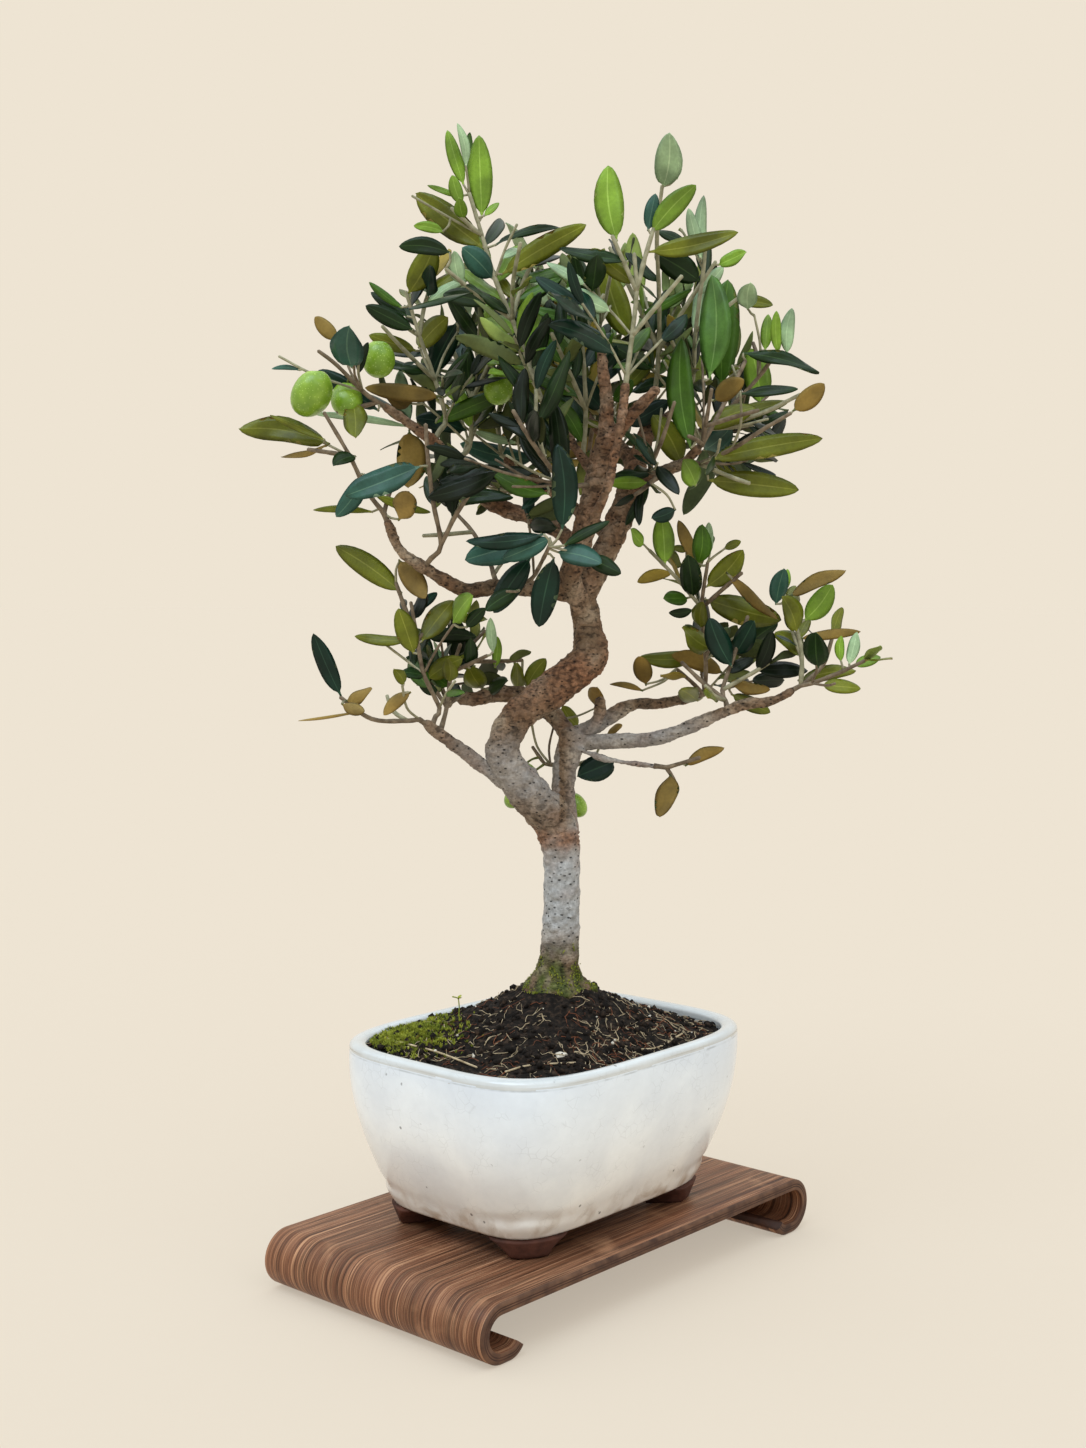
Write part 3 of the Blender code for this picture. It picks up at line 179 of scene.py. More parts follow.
SHOOTS = {
    "top_left_leader": Shoot("left_leader_bough", [
        (-12, -17, 426), (-20, -14, 447), (-28, -11, 466), (-34, -8, 486), (-40, -6, 506)],
        [(-48, -12, 498), (-8, -4, 480), (-50, -26, 468)], 1, 40, 0.27, 21, 11),
    "top_middle_leader": Shoot("fore_leader", [
        (34, -40, 436), (36, -38, 456), (35, -36, 473)],
        [(25, -40, 480), (44, -34, 485), (56, -42, 462)], 0, 41, 0.28, 22, 12),
    "top_right_leader": Shoot("trunk", [
        (50, 24, 438), (49, 10, 464), (47, -6, 487), (49, -12, 508)],
        [(26, 20, 486), (76, 12, 478)], 1, 38, 0.30, 22, 13),
    "front_right_shoot": Shoot("right_crown_bough", [
        (69, -18, 398), (71, -26, 414)],
        [(92, -30, 404), (60, -34, 392)], 1, 57, 0.27, 22, 14, (), (9, 45), 5),
    "right_pale_shoot": Shoot("back_right_crown_bough", [
        (66, 26, 420), (67, 16, 446), (70, 10, 474), (71, 8, 488)],
        [(88, 16, 462), (54, 0, 440)], 0, 34, 0.30, 21, 15),
    "right_upper_shoot": Shoot("right_crown_bough", [
        (72, 2, 398), (86, 6, 412), (96, 4, 423), (104, 0, 434)],
        [(116, 6, 415), (94, 12, 440)], 0, 36, 0.27, 20, 16),
    "right_edge_shoot": Shoot("right_crown_bough", [
        (68, 0, 382), (82, -12, 388), (95, -22, 396), (107, -28, 403)],
        [(90, -14, 372)], 0, 42, 0.26, 21, 17),
    "front_shoot": Shoot("mid_left_bough", [
        (-10, -30, 329), (-3, -52, 342)],
        [], 0, 42, 0.31, 7, 18, (), (62, 92), 24),
    "front_upper_shoot": Shoot("fore_bough", [
        (4, -40, 370), (-5, -52, 380), (-13, -58, 391), (-19, -60, 401)],
        [], 1, 40, 0.27, 20, 19),
    "front_middle_shoot": Shoot("right_crown_bough", [
        (44, -8, 378), (49, -22, 392), (54, -28, 408)],
        [(36, -26, 366)], 0, 34, 0.28, 20, 44),
    "middle_shoot": Shoot("fore_bough", [
        (13, -13, 384), (14, -12, 406), (12, -12, 438), (7, -8, 468)],
        [(-2, -34, 438), (22, -16, 458)], 0, 38, 0.27, 21, 20),
    "inner_left_shoot": Shoot("high_left_bough", [
        (-41, 18, 392), (-40, 22, 414), (-37, 24, 438), (-36, 24, 460)],
        [(-24, 10, 446), (-53, 34, 446)], 0, 36, 0.28, 21, 21, ((-27, 8, 418, 7.0),)),
    "left_crown_shoot": Shoot("high_left_bough", [
        (-52, 8, 404), (-57, 8, 422), (-64, 4, 442), (-70, 0, 462)],
        [(-80, -14, 444), (-58, 12, 470)], 1, 36, 0.27, 20, 22),
    "left_fruit_shoot": Shoot("high_left_bough", [
        (-88, -25, 413), (-99, -31, 424), (-107, -35, 430)],
        [(-100, -24, 404)], 0, 30, 0.34, 18, 23,
        ((-110, -36, 411, 9.4), (-81, -22, 428, 7.6), (-96, -20, 410, 7.4))),
    "left_edge_shoot": Shoot("mid_left_bough", [
        (-86, -34, 368), (-93, -38, 383), (-104, -40, 402)],
        [(-72, -18, 376), (-112, -36, 386)], 0, 42, 0.26, 21, 24),
    "mid_left_shoot": Shoot("mid_left_bough", [
        (-52, -36, 343), (-55, -42, 361), (-57, -46, 379), (-58, -48, 396)],
        [(-38, -50, 366)], 0, 40, 0.27, 22, 25),
    "inner_mid_left_shoot": Shoot("mid_left_bough", [
        (-31, -8, 336), (-39, -2, 350), (-50, 4, 362)],
        [(-18, 12, 344), (-62, -8, 348)], 0, 32, 0.32, 21, 26),
    "heart_left_shoot": Shoot("trunk", [
        (28, 24, 400), (14, 32, 422), (3, 34, 448), (-6, 28, 474)],
        [(-16, 44, 446), (16, 40, 472)], 0, 38, 0.27, 22, 27),
    "back_top_left_shoot": Shoot("back_left_crown_bough", [
        (-29, 60, 408), (-38, 64, 436), (-42, 58, 460)],
        [(-58, 58, 430), (-18, 72, 450)], 0, 36, 0.28, 22, 29),
    "back_top_shoot": Shoot("back_bough", [
        (18, 64, 432), (23, 64, 456), (28, 56, 480)],
        [(2, 78, 452), (42, 76, 456)], 0, 36, 0.28, 22, 30),
    "back_top_right_shoot": Shoot("back_right_crown_bough", [
        (70, 62, 430), (79, 64, 450), (84, 58, 468)],
        [(60, 82, 446), (100, 70, 438)], 0, 36, 0.28, 22, 31),
    "back_left_shoot": Shoot("back_left_crown_bough", [
        (-19, 37, 371), (-42, 46, 380), (-62, 52, 396), (-78, 52, 412)],
        [(-66, 66, 376), (-44, 70, 400)], 0, 34, 0.30, 21, 32),
    "back_middle_shoot": Shoot("back_bough", [
        (16, 70, 388), (10, 84, 400), (2, 92, 420)],
        [(36, 88, 398), (-14, 82, 392)], 0, 34, 0.30, 21, 33),
    "back_right_shoot": Shoot("back_right_crown_bough", [
        (68, 36, 401), (86, 48, 402), (105, 57, 413)],
        [(84, 68, 382), (96, 42, 388)], 0, 34, 0.30, 21, 34),
    "low_left_shoot": Shoot("low_left_bough", [
        (-54, -19, 268), (-61, -23, 284), (-64, -22, 300), (-67, -20, 317)],
        [(-74, -18, 326), (-50, -10, 310)], 0, 33, 0.30, 20, 35),
    "low_left_edge_shoot": Shoot("low_left_bough", [
        (-68, -34, 263), (-84, -36, 264), (-98, -38, 274)],
        [(-78, -24, 274)], 0, 31, 0.36, 21, 36),
    "low_left_inner_shoot": Shoot("low_left_bough", [
        (-51, -12, 268), (-49, -6, 284), (-45, 0, 297)],
        [(-64, -2, 284), (-32, -12, 292)], 0, 24, 0.42, 18, 37),
    "low_back_left_shoot": Shoot("back_left_bough", [
        (-55, 17, 276), (-48, 24, 288), (-34, 26, 303)],
        [(-16, 40, 288), (-54, 38, 266)], 0, 26, 0.40, 18, 38),
    "fork_shoot": Shoot("right_stem", [
        (-5, 22, 238), (-11, 26, 246)],
        [(20, 32, 240)], 0, 27, 0.48, 20, 39,
        ((10, 21, 218, 5.6), (-14, 20, 232, 6.4), (-19, 14, 223, 5.4))),
    "low_right_back_shoot": Shoot("high_right_bough", [
        (75, 40, 288), (72, 30, 314), (74, 22, 336)],
        [(46, 26, 342), (90, 16, 331), (60, 34, 284)], 0, 30, 0.38, 20, 40),
    "low_right_shoot": Shoot("low_right_bough", [
        (80, 6, 275), (86, 12, 291), (93, 16, 310)],
        [(61, 14, 288), (102, 4, 288), (70, -14, 278)], 0, 28, 0.38, 18, 41),
    "right_tip_shoot": Shoot("low_right_bough", [
        (120, -12, 279), (132, -15, 284), (144, -18, 290)],
        [(112, -2, 304), (108, 2, 322), (132, 4, 300)], 0, 28, 0.38, 20, 42),
    "under_right_shoot": Shoot("under_right_bough", [
        (57, -5, 240), (68, -10, 244)],
        [(58, -1, 228)], 0, 25, 0.42, 18, 43),
}


# The source's rule for twigs and leaves.
LIMB_STEP = 11.0
TWIG_STEP = 24.0
STEM_RADIUS = 1.6
FORK_RADIUS = 1.3
TIP_RADIUS = 1.1
NECK = 3.5
FORK_SET_BACK = 0.7
FORK_BOW = 0.1
FORK_SAG = 0.08
LEVEL_HINT = (0.3, 0.2, 1.0)
GOLDEN_ANGLE = 137.5
TWIG_SHARES = (0.3, 0.85)
TWIG_REACH = (0.6, 0.95)
TWIG_FORWARD = 0.8
TWIG_LIFT = (0.0, 0.0, 0.2)
TWIG_CLEAR = 5.0
TRIES = 8
STEM_BARE = 9.5
FORK_BARE = 5.0
TIP_INSET = 0.8
TIP_SIZE = 0.9
PAIR_TURN = 90.0
TURN_JITTER = 8.0
SPREAD_JITTER = (-8.0, 10.0)
SIZE_JITTER = (0.56, 0.96)
WIDTH_JITTER = (0.88, 1.12)
RISE_JITTER = (-0.05, 0.3)
DROOP_JITTER = (-0.02, 0.2)
CROWN_AXIS = (0.0, 15.0)
FRONT_Y = 25.0
FACE_OUT = 0.45
FACE_UP = 0.55
FACE_FRONT = 0.75
FACE_BACK = -0.3
FACE_JITTER = 0.6
LEAF_SINK = 0.4
LEAF_CLEAR = 1.2
TWIG_LEAF_CLEAR = 0.3
LEAF_LEAF_CLEAR = 1.0
SAMPLE_ROW = 5
SAMPLE_SPAN = (0.12, 1.0, 14)
SAMPLE_WIDENS = 0.3
SAMPLE_NARROWS = 0.28
SAMPLE_END = 1.06
OLIVE_LENGTH = 1.12

# What the finer growth adds: more side twigs on each shoot, and closer pairs of leaves.
FINE_MORE = 5
FINE_RADIUS = 0.75
FINE_PITCH = 0.42
FINE_SEED = 5000
RULE_SEED = 1000
NEAR = 75.0


def row_of(points, turned=True):
    """Points on the tree's axes (turned) or the stand's, as the row's coordinates in metres."""
    points = np.atleast_2d(np.asarray(points, float))
    x, y, z = points[:, 0], points[:, 1], points[:, 2]
    if turned:
        turn = math.radians(TREE_TURN)
        x, y = x * math.cos(turn) - y * math.sin(turn), x * math.sin(turn) + y * math.cos(turn)
        x, y = x + TREE_FOOT[0], y + TREE_FOOT[1]
    return np.column_stack([x + STAND_X, y + STAND_Y, z]) * MM


def seen_at(u, v, depth):
    """The point on the tree's axes that the photo shows at pixel (u, v), at this y."""
    right = np.array((1.0, 0, 0))
    ray = AHEAD + right * (u - PHOTO_SIZE[0] / 2) / FOCAL_PX - ABOVE * (v - PHOTO_SIZE[1] / 2) / FOCAL_PX
    return EYE + ray * (depth - EYE[1]) / ray[1]


def photo_place(points):
    """Where the photo shows points on the tree's axes, as pixels."""
    offset = np.atleast_2d(points) - EYE
    far = offset @ AHEAD
    u = PHOTO_SIZE[0] / 2 + FOCAL_PX * offset[:, 0] / far
    v = PHOTO_SIZE[1] / 2 - FOCAL_PX * (offset @ ABOVE) / far
    return np.column_stack([u, v])


def unit(vector):
    """The vector at length 1."""
    vector = np.asarray(vector, float)
    return vector / max(np.linalg.norm(vector), 1e-9)


def clamp(value):
    """The value kept from 0 to 1."""
    return min(max(value, 0.0), 1.0)


def smooth(stations, step):
    """Points about step apart on the Catmull-Rom curve through the stations."""
    knots = np.array(stations, float)
    first = 2 * knots[0] - knots[1]
    last = 2 * knots[-1] - knots[-2]
    knots = np.vstack([first, knots, last])
    points = []
    for before, start, end, after in zip(knots, knots[1:], knots[2:], knots[3:]):
        count = max(1, round(np.linalg.norm((end - start)[:3]) / step))
        for t in np.arange(count) / count:
            points.append(0.5 * (2 * start + (end - before) * t
                                 + (2 * before - 5 * start + 4 * end - after) * t ** 2
                                 + (3 * start - before - 3 * end + after) * t ** 3))
    points.append(knots[-2])
    return np.array(points)


class Lines:
    """Tapered lines that keep things off: the distance of points from their surface."""

    def __init__(self, lines):
        starts = [line[:-1] for line in lines]
        ends = [line[1:] for line in lines]
        self.start = np.vstack(starts) if lines else np.zeros((0, 4))
        self.along = (np.vstack(ends) if lines else np.zeros((0, 4))) - self.start

    def near(self, point, reach=NEAR):
        """Only the stretches near the point."""
        made = Lines([])
        close = np.linalg.norm(self.start[:, :3] - point, axis=1) < reach
        made.start = self.start[close]
        made.along = self.along[close]
        return made

    def clearance(self, points):
        """How far each point is outside the nearest line's surface."""
        if not len(self.start):
            return np.full(len(points), np.inf)
        offset = points[:, None, :] - self.start[None, :, :3]
        along = self.along[:, :3]
        share = (offset * along).sum(-1) / (along ** 2).sum(-1)
        share = np.clip(share, 0.0, 1.0)
        apart = np.linalg.norm(offset - share[..., None] * along, axis=-1)
        return (apart - self.start[:, 3] - share * self.along[:, 3]).min(1)


Leaf = namedtuple("Leaf", "root direction side normal length width droop")


def leaf_samples(leaf):
    """Points that cover the leaf closely."""
    points = []
    for u in np.linspace(*SAMPLE_SPAN):
        half = min(1.0, u / SAMPLE_WIDENS, (SAMPLE_END - u) / SAMPLE_NARROWS)
        arch = leaf.normal * (-leaf.droop * leaf.length * u * u)
        middle = leaf.root + leaf.direction * leaf.length * u + arch
        for v in (-half, -half / 2, 0.0, half / 2, half):
            points.append(middle + leaf.side * v * leaf.width / 2)
    return np.array(points)


def bough_line(name):
    """The limb's centre line with its radius."""
    return smooth(LIMBS[name].stations, LIMB_STEP)


def stem_line(shoot):
    """The shoot's stem: clear of its bough by the gap, then along its route."""
    line = bough_line(shoot.bough)
    target = np.array(shoot.route[0], float)
    fine = smooth(line, 1.0)
    nearest = int(np.argmin(np.linalg.norm(fine[:, :3] - target, axis=1)))
    seat = fine[nearest]
    if nearest == len(fine) - 1:
        away = unit(line[-1, :3] - line[-2, :3])
        start = seat[:3] + away * GAP
    else:
        run = unit(fine[nearest + 1, :3] - fine[max(nearest - 1, 0), :3])
        away = target - seat[:3]
        away = unit(away - run * (away @ run))
        start = seat[:3] + away * (seat[3] + GAP)
    stations = [start, start + away * NECK, *shoot.route]
    radii = np.linspace(STEM_RADIUS, TIP_RADIUS, len(stations))
    return smooth([(*point, radius) for point, radius in zip(stations, radii)], TWIG_STEP)


def fork_line(stem, tip, thick=FORK_RADIUS, thin=TIP_RADIUS):
    """A side twig from the stem to the tip: it leaves forwards and bows out."""
    tip = np.array(tip, float)
    away = np.linalg.norm(stem[:, :3] - tip, axis=1)
    nearest = int(np.argmin(away))
    back = away[nearest] * FORK_SET_BACK
    index = nearest
    while index > 1 and back > 0:
        back -= np.linalg.norm(stem[index, :3] - stem[index - 1, :3])
        index -= 1
    root = stem[max(index, 1), :3]
    run = unit(stem[min(index + 1, len(stem) - 1), :3] - root)
    reach = np.linalg.norm(tip - root)
    middle = (root + tip) / 2 + run * reach * FORK_BOW - np.array((0, 0, reach * FORK_SAG))
    stations = [(*root, thick), (*middle, thick), (*tip, thin)]
    return smooth(stations, TWIG_STEP)


def seeded_tip(stem, number, shoot, chance):
    """A tip for one more side twig: turned round the stem by the golden angle."""
    share = chance.uniform(*TWIG_SHARES)
    root = stem[int(share * (len(stem) - 1)), :3]
    run = unit(stem[-1, :3] - stem[0, :3])
    level = unit(np.cross(run, LEVEL_HINT))
    across = np.cross(run, level)
    turn = math.radians(GOLDEN_ANGLE * number + chance.uniform(0, 360))
    out = level * math.cos(turn) + across * math.sin(turn)
    reach = shoot.leaf * chance.uniform(*TWIG_REACH)
    return root + unit(run * TWIG_FORWARD + out + TWIG_LIFT) * reach


def add_twigs(twigs, more_of, seed_of, thick, thin, clear):
    """Side twigs that the seed adds to each shoot, clear of the limbs and of the other twigs."""
    limbs = Lines([bough_line(name) for name in LIMBS])
    for name, shoot in SHOOTS.items():
        chance = random.Random(seed_of(shoot))
        others = Lines([line for other in twigs if other != name for line in twigs[other]])
        wanted = more_of(shoot)
        added = 0
        for number in range(wanted * TRIES):
            if added == wanted:
                break
            tip = seeded_tip(twigs[name][0], number, shoot, chance)
            line = fork_line(twigs[name][0], tip, thick, thin)
            points = smooth(line, 3.0)[2:, :3]
            own = Lines(twigs[name]).clearance(points[len(points) // 2:])
            free = min(others.clearance(points).min(), limbs.clearance(points).min(), own.min())
            if free > clear:
                twigs[name].append(line)
                added += 1


def grow_twigs():
    """Every shoot's stem and side twigs as in the source, then the finer ones."""
    twigs = {}
    for name, shoot in SHOOTS.items():
        stem = stem_line(shoot)
        twigs[name] = [stem] + [fork_line(stem, tip) for tip in shoot.forks]
    add_twigs(twigs, lambda shoot: shoot.more, lambda shoot: shoot.seed, FORK_RADIUS, TIP_RADIUS, TWIG_CLEAR)
    main = {name: len(lines) for name, lines in twigs.items()}
    add_twigs(twigs, lambda shoot: FINE_MORE, lambda shoot: shoot.seed + FINE_SEED,
              FINE_RADIUS, FINE_RADIUS, TWIG_CLEAR / 2)
    return twigs, main


def leafy_twigs(twigs, main, grown):
    """The twigs without the finer ones that carry no leaf."""
    carrying = {name: set(range(main[name])) for name in twigs}
    for name, leaf, tone, stalk in grown:
        root = stalk[0, :3] if stalk is not None else leaf.root
        away = [Lines([line]).clearance(root[None])[0] for line in twigs[name]]
        carrying[name].add(int(np.argmin(away)))
    return {name: [line for index, line in enumerate(lines) if index in carrying[name]]
            for name, lines in twigs.items()}


def make_leaf(point, run, turn, spread, length, slim, chance):
    """One leaf at a node of a twig that runs along run."""
    level = unit(np.cross(run, LEVEL_HINT))
    across = np.cross(run, level)
    out = level * math.cos(turn) + across * math.sin(turn)
    direction = run * math.cos(spread) + out * math.sin(spread)
    direction = unit(direction + np.array((0, 0, chance.uniform(*RISE_JITTER))))
    outward = unit(np.array((point[0] - CROWN_AXIS[0], point[1] - CROWN_AXIS[1], 0.0)))
    front = FACE_FRONT if point[1] < FRONT_Y else FACE_BACK
    facing = outward * FACE_OUT + np.array((0, -front, FACE_UP))
    facing = facing + np.array([chance.uniform(-FACE_JITTER, FACE_JITTER) for _ in range(3)])
    normal = unit(facing - direction * (facing @ direction))
    side = np.cross(direction, normal)
    width = length * slim * chance.uniform(*WIDTH_JITTER)
    droop = chance.uniform(*DROOP_JITTER)
    return Leaf(point - direction * LEAF_SINK, direction, side, normal, length, width, droop)


# Leaves that the photo shows plainly, in its own pixels: where each starts (u, v), where it ends (u, v),
# its width there, and its tone.  Each stands on the shoot that passes nearest to its start.
SEEN_LEAVES = {
    "upper left": [
        (464, 186, 448, 129, 13, "young"), (466, 167, 458, 123, 9, "pale"),
        (468, 179, 470, 132, 9, "green"), (482, 218, 479, 135, 22, "young"),
        (462, 205, 452, 175, 12, "young"), (464, 196, 428, 184, 6, "young"),
        (484, 216, 499, 202, 7, "young"), (464, 219, 460, 200, 12, "young"),
        (484, 248, 414, 192, 26, "olive"), (444, 232, 414, 225, 10, "young"),
        (451, 253, 399, 245, 16, "dark"), (408, 294, 435, 246, 24, "olive"),
        (428, 297, 428, 270, 18, "deep"), (493, 279, 463, 248, 22, "blue"),
        (461, 285, 454, 251, 15, "pale"), (402, 308, 369, 282, 8, "green"),
        (408, 317, 371, 291, 14, "dark"), (414, 330, 366, 305, 16, "dark"),
        (417, 351, 369, 335, 14, "olive"), (418, 348, 445, 317, 22, "olive"),
        (457, 322, 431, 374, 22, "deep"), (338, 340, 316, 317, 14, "tan"),
        (352, 368, 349, 328, 30, "blue"), (300, 370, 271, 368, 5, "blue"),
        (379, 411, 318, 370, 18, "deep"), (330, 444, 238, 427, 24, "olive"),
        (325, 440, 270, 415, 6, "olive"), (330, 444, 280, 456, 6, "tan"),
        (411, 427, 310, 414, 7, "pale"), (353, 403, 355, 437, 22, "olive"),
        (409, 430, 409, 486, 28, "brown"), (442, 397, 365, 387, 16, "brown"),
        (412, 404, 388, 392, 22, "brown"), (435, 423, 511, 391, 16, "green"),
        (467, 431, 416, 417, 20, "deep"), (421, 466, 345, 492, 26, "blue"),
        (365, 474, 336, 517, 18, "blue"), (356, 456, 334, 464, 15, "dark"),
        (373, 512, 313, 510, 7, "olive"), (373, 494, 431, 512, 9, "olive"),
        (399, 520, 408, 493, 22, "tan"), (536, 460, 461, 443, 19, "blue"),
        (517, 443, 474, 431, 8, "pale"), (448, 503, 513, 497, 14, "dark"),
        (549, 494, 492, 471, 17, "green"),
    ],
    "upper right": [
        (617, 241, 606, 164, 27, "young"), (663, 188, 668, 136, 25, "pale"),
        (677, 179, 675, 156, 8, "pale"), (651, 233, 696, 185, 20, "young"),
        (648, 231, 656, 193, 13, "blue"), (648, 252, 738, 232, 18, "olive"),
        (629, 261, 560, 246, 14, "dark"), (495, 245, 560, 223, 9, "dark"),
        (501, 275, 586, 224, 20, "olive"), (718, 265, 744, 251, 14, "young"),
        (701, 282, 655, 253, 24, "dark"), (636, 285, 592, 248, 16, "olive"),
        (592, 292, 597, 256, 20, "dark"), (628, 340, 605, 268, 26, "olive"),
        (639, 317, 692, 289, 9, "green"), (705, 265, 704, 194, 12, "pale"),
        (701, 259, 689, 208, 12, "pale"), (709, 380, 708, 272, 31, "fresh"),
        (722, 388, 728, 278, 30, "green"), (748, 310, 750, 284, 18, "pale"),
        (734, 299, 773, 305, 12, "olive"), (765, 351, 768, 314, 11, "young"),
        (778, 354, 777, 311, 10, "young"), (787, 355, 791, 308, 14, "pale"),
        (742, 353, 820, 370, 14, "dark"), (761, 406, 752, 348, 24, "young"),
        (793, 411, 824, 384, 18, "brown"), (714, 401, 744, 380, 18, "brown"),
        (741, 394, 798, 388, 11, "dark"), (707, 429, 755, 406, 20, "olive"),
        (712, 429, 790, 400, 15, "olive"), (708, 460, 823, 434, 21, "olive"),
        (707, 480, 799, 490, 23, "olive"), (691, 449, 681, 338, 25, "green"),
        (682, 465, 653, 414, 24, "olive"), (704, 450, 729, 429, 20, "blue"),
        (696, 486, 686, 462, 20, "young"), (648, 483, 609, 483, 12, "young"),
        (676, 509, 653, 518, 13, "deep"), (602, 409, 576, 378, 24, "deep"),
        (629, 393, 679, 376, 12, "dark"), (625, 426, 669, 400, 18, "deep"),
        (564, 460, 613, 424, 13, "tan"), (562, 531, 558, 444, 24, "deep"),
        (612, 402, 632, 380, 14, "green"),
    ],
    "front": [
        (545, 534, 466, 541, 15, "deep"), (540, 541, 465, 559, 28, "blue"),
        (551, 538, 502, 558, 18, "blue"), (531, 557, 493, 611, 22, "deep"),
        (518, 590, 485, 610, 16, "dark"), (554, 557, 539, 627, 24, "deep"),
        (557, 552, 601, 562, 22, "blue"), (586, 557, 621, 573, 16, "dark"),
        (563, 546, 610, 520, 10, "dark"),
    ],
    "lower left": [
        (402, 593, 336, 543, 22, "olive"), (399, 560, 425, 597, 20, "tan"),
        (411, 640, 354, 633, 11, "olive"), (414, 654, 399, 610, 20, "olive"),
        (421, 642, 452, 598, 22, "olive"), (453, 623, 469, 596, 22, "young"),
        (427, 639, 477, 637, 14, "dark"), (466, 628, 485, 608, 12, "dark"),
        (341, 696, 313, 634, 17, "deep"), (346, 701, 371, 688, 16, "brown"),
        (342, 704, 363, 711, 12, "tan"), (357, 712, 298, 721, 3, "tan"),
        (411, 692, 383, 715, 12, "tan"), (404, 685, 395, 670, 11, "olive"),
        (425, 676, 402, 672, 12, "dark"), (427, 679, 462, 659, 18, "olive"),
        (449, 682, 448, 660, 15, "olive"), (470, 669, 471, 640, 13, "dark"),
        (493, 653, 490, 618, 10, "pale"), (495, 668, 498, 637, 9, "young"),
        (483, 689, 469, 669, 20, "olive"), (517, 691, 516, 664, 15, "olive"),
        (526, 688, 545, 658, 15, "olive"), (526, 692, 551, 681, 12, "olive"),
        (488, 690, 504, 680, 16, "dark"),
    ],
    "lower right": [
        (665, 565, 662, 515, 20, "young"), (644, 545, 632, 529, 13, "young"),
        (698, 564, 678, 520, 12, "tan"), (698, 564, 701, 527, 18, "green"),
        (710, 554, 709, 522, 9, "pale"), (687, 551, 673, 548, 7, "olive"),
        (693, 598, 687, 558, 20, "dark"), (706, 587, 743, 550, 22, "olive"),
        (724, 549, 741, 541, 8, "olive"), (688, 598, 664, 598, 15, "green"),
        (705, 599, 782, 619, 26, "olive"), (726, 572, 779, 619, 11, "brown"),
        (693, 610, 669, 613, 9, "dark"), (701, 628, 701, 605, 16, "olive"),
        (732, 667, 710, 618, 22, "deep"), (711, 649, 685, 628, 22, "olive"),
        (735, 655, 752, 623, 20, "deep"), (701, 655, 640, 655, 17, "olive"),
        (724, 674, 672, 654, 18, "brown"), (646, 685, 639, 659, 17, "brown"),
        (776, 605, 784, 569, 17, "blue"), (783, 593, 788, 569, 8, "young"),
        (789, 597, 846, 570, 15, "brown"), (797, 632, 783, 597, 22, "olive"),
        (804, 621, 832, 585, 21, "young"), (818, 668, 815, 635, 24, "dark"),
        (799, 639, 861, 630, 10, "brown"), (849, 665, 856, 632, 12, "pale"),
        (841, 662, 841, 636, 9, "young"), (854, 666, 881, 656, 12, "young"),
        (799, 681, 858, 670, 14, "olive"), (821, 685, 861, 688, 15, "olive"),
        (728, 681, 770, 690, 13, "brown"), (698, 701, 682, 690, 18, "olive"),
        (731, 694, 771, 712, 14, "olive"), (685, 766, 725, 747, 12, "brown"),
        (671, 774, 658, 814, 22, "brown"), (615, 761, 579, 775, 24, "deep"),
        (597, 708, 595, 690, 16, "brown"), (643, 691, 610, 683, 7, "brown"),
        (607, 735, 621, 724, 9, "tan"), (579, 727, 563, 706, 14, "olive"),
    ],
}
SEEN_LEAN = 0.35
SEEN_SLIM = 2.1
SEEN_FULL = 1.12
SEEN_SHIFTS = (0, -3, 3, -6, 6, -9, 9, -13, 13, -18, -24)
SEEN_FACE = 0.3
SEEN_FACE_UP = 0.25
SEEN_DROOP = (0.0, 0.12)
SEEN_TWIG_PULL = 3
SEEN_FREE = 2.0
SEEN_OUTSIDE = 4.0
SEEN_BETTER = 0.2
SEEN_ENOUGH = 2.9
STALK_TWIG = 0.5
STALK_FROM = 0.8
STALK_CURVE = 0.12

# Leaves that stand towards the viewer at a shoot's tip: its direction, length, width and tone.
FORWARD_LEAVES = (
    ("right_tip_shoot", (0.45, -0.88, 0.12), 20.5, 7.4, "olive"),
    ("right_tip_shoot", (0.25, -0.85, 0.5), 17.0, 6.8, "young"),
)
FORWARD_DROOP = 0.05

# Where the photo shows the crown's edge, and sky inside it, in its pixels.
CROWN_EDGE = [
    (338, 452), (345, 400), (352, 350), (378, 310), (388, 270), (410, 232), (445, 205), (492, 205),
    (520, 240), (560, 236), (600, 240), (640, 226), (690, 226), (722, 250), (742, 300), (758, 340),
    (768, 385), (790, 410), (780, 480), (720, 502), (650, 530), (600, 560), (560, 545), (520, 520),
    (440, 512), (395, 480),
]
LOWER_LEFT_EDGE = [
    (392, 605), (415, 588), (480, 590), (505, 640), (560, 660), (556, 702), (500, 705), (420, 695),
    (398, 650),
]
LOWER_RIGHT_EDGE = [
    (640, 535), (660, 518), (708, 522), (745, 552), (792, 572), (850, 590), (874, 655), (800, 690),
    (742, 684), (700, 705), (640, 695), (622, 665),
]
SKY = ((395, 515, 445, 570), (350, 470, 394, 530), (545, 225, 590, 250))
BOX_SLACK = 1.0
HIDE_NEAR = 6.0
HIDE_SLACK = 4.0
HIDE_SHARE = 0.22

# How leaves stand: the share that show their underside, by where they are.
TURNED_LOW_Z = 268.0
TURNED_SHARE_LOW = 0.34
TURNED_SHARE_HIGH = 0.14


def inside(edge, places):
    """Which of the places are inside the closed edge, in the photo's pixels."""
    u, v = places[:, 0], places[:, 1]
    within = np.zeros(len(places), bool)
    for (u0, v0), (u1, v1) in zip(edge, edge[1:] + edge[:1]):
        if v0 != v1:
            within ^= ((v0 > v) != (v1 > v)) & (u < u0 + (v - v0) * (u1 - u0) / (v1 - v0))
    return within


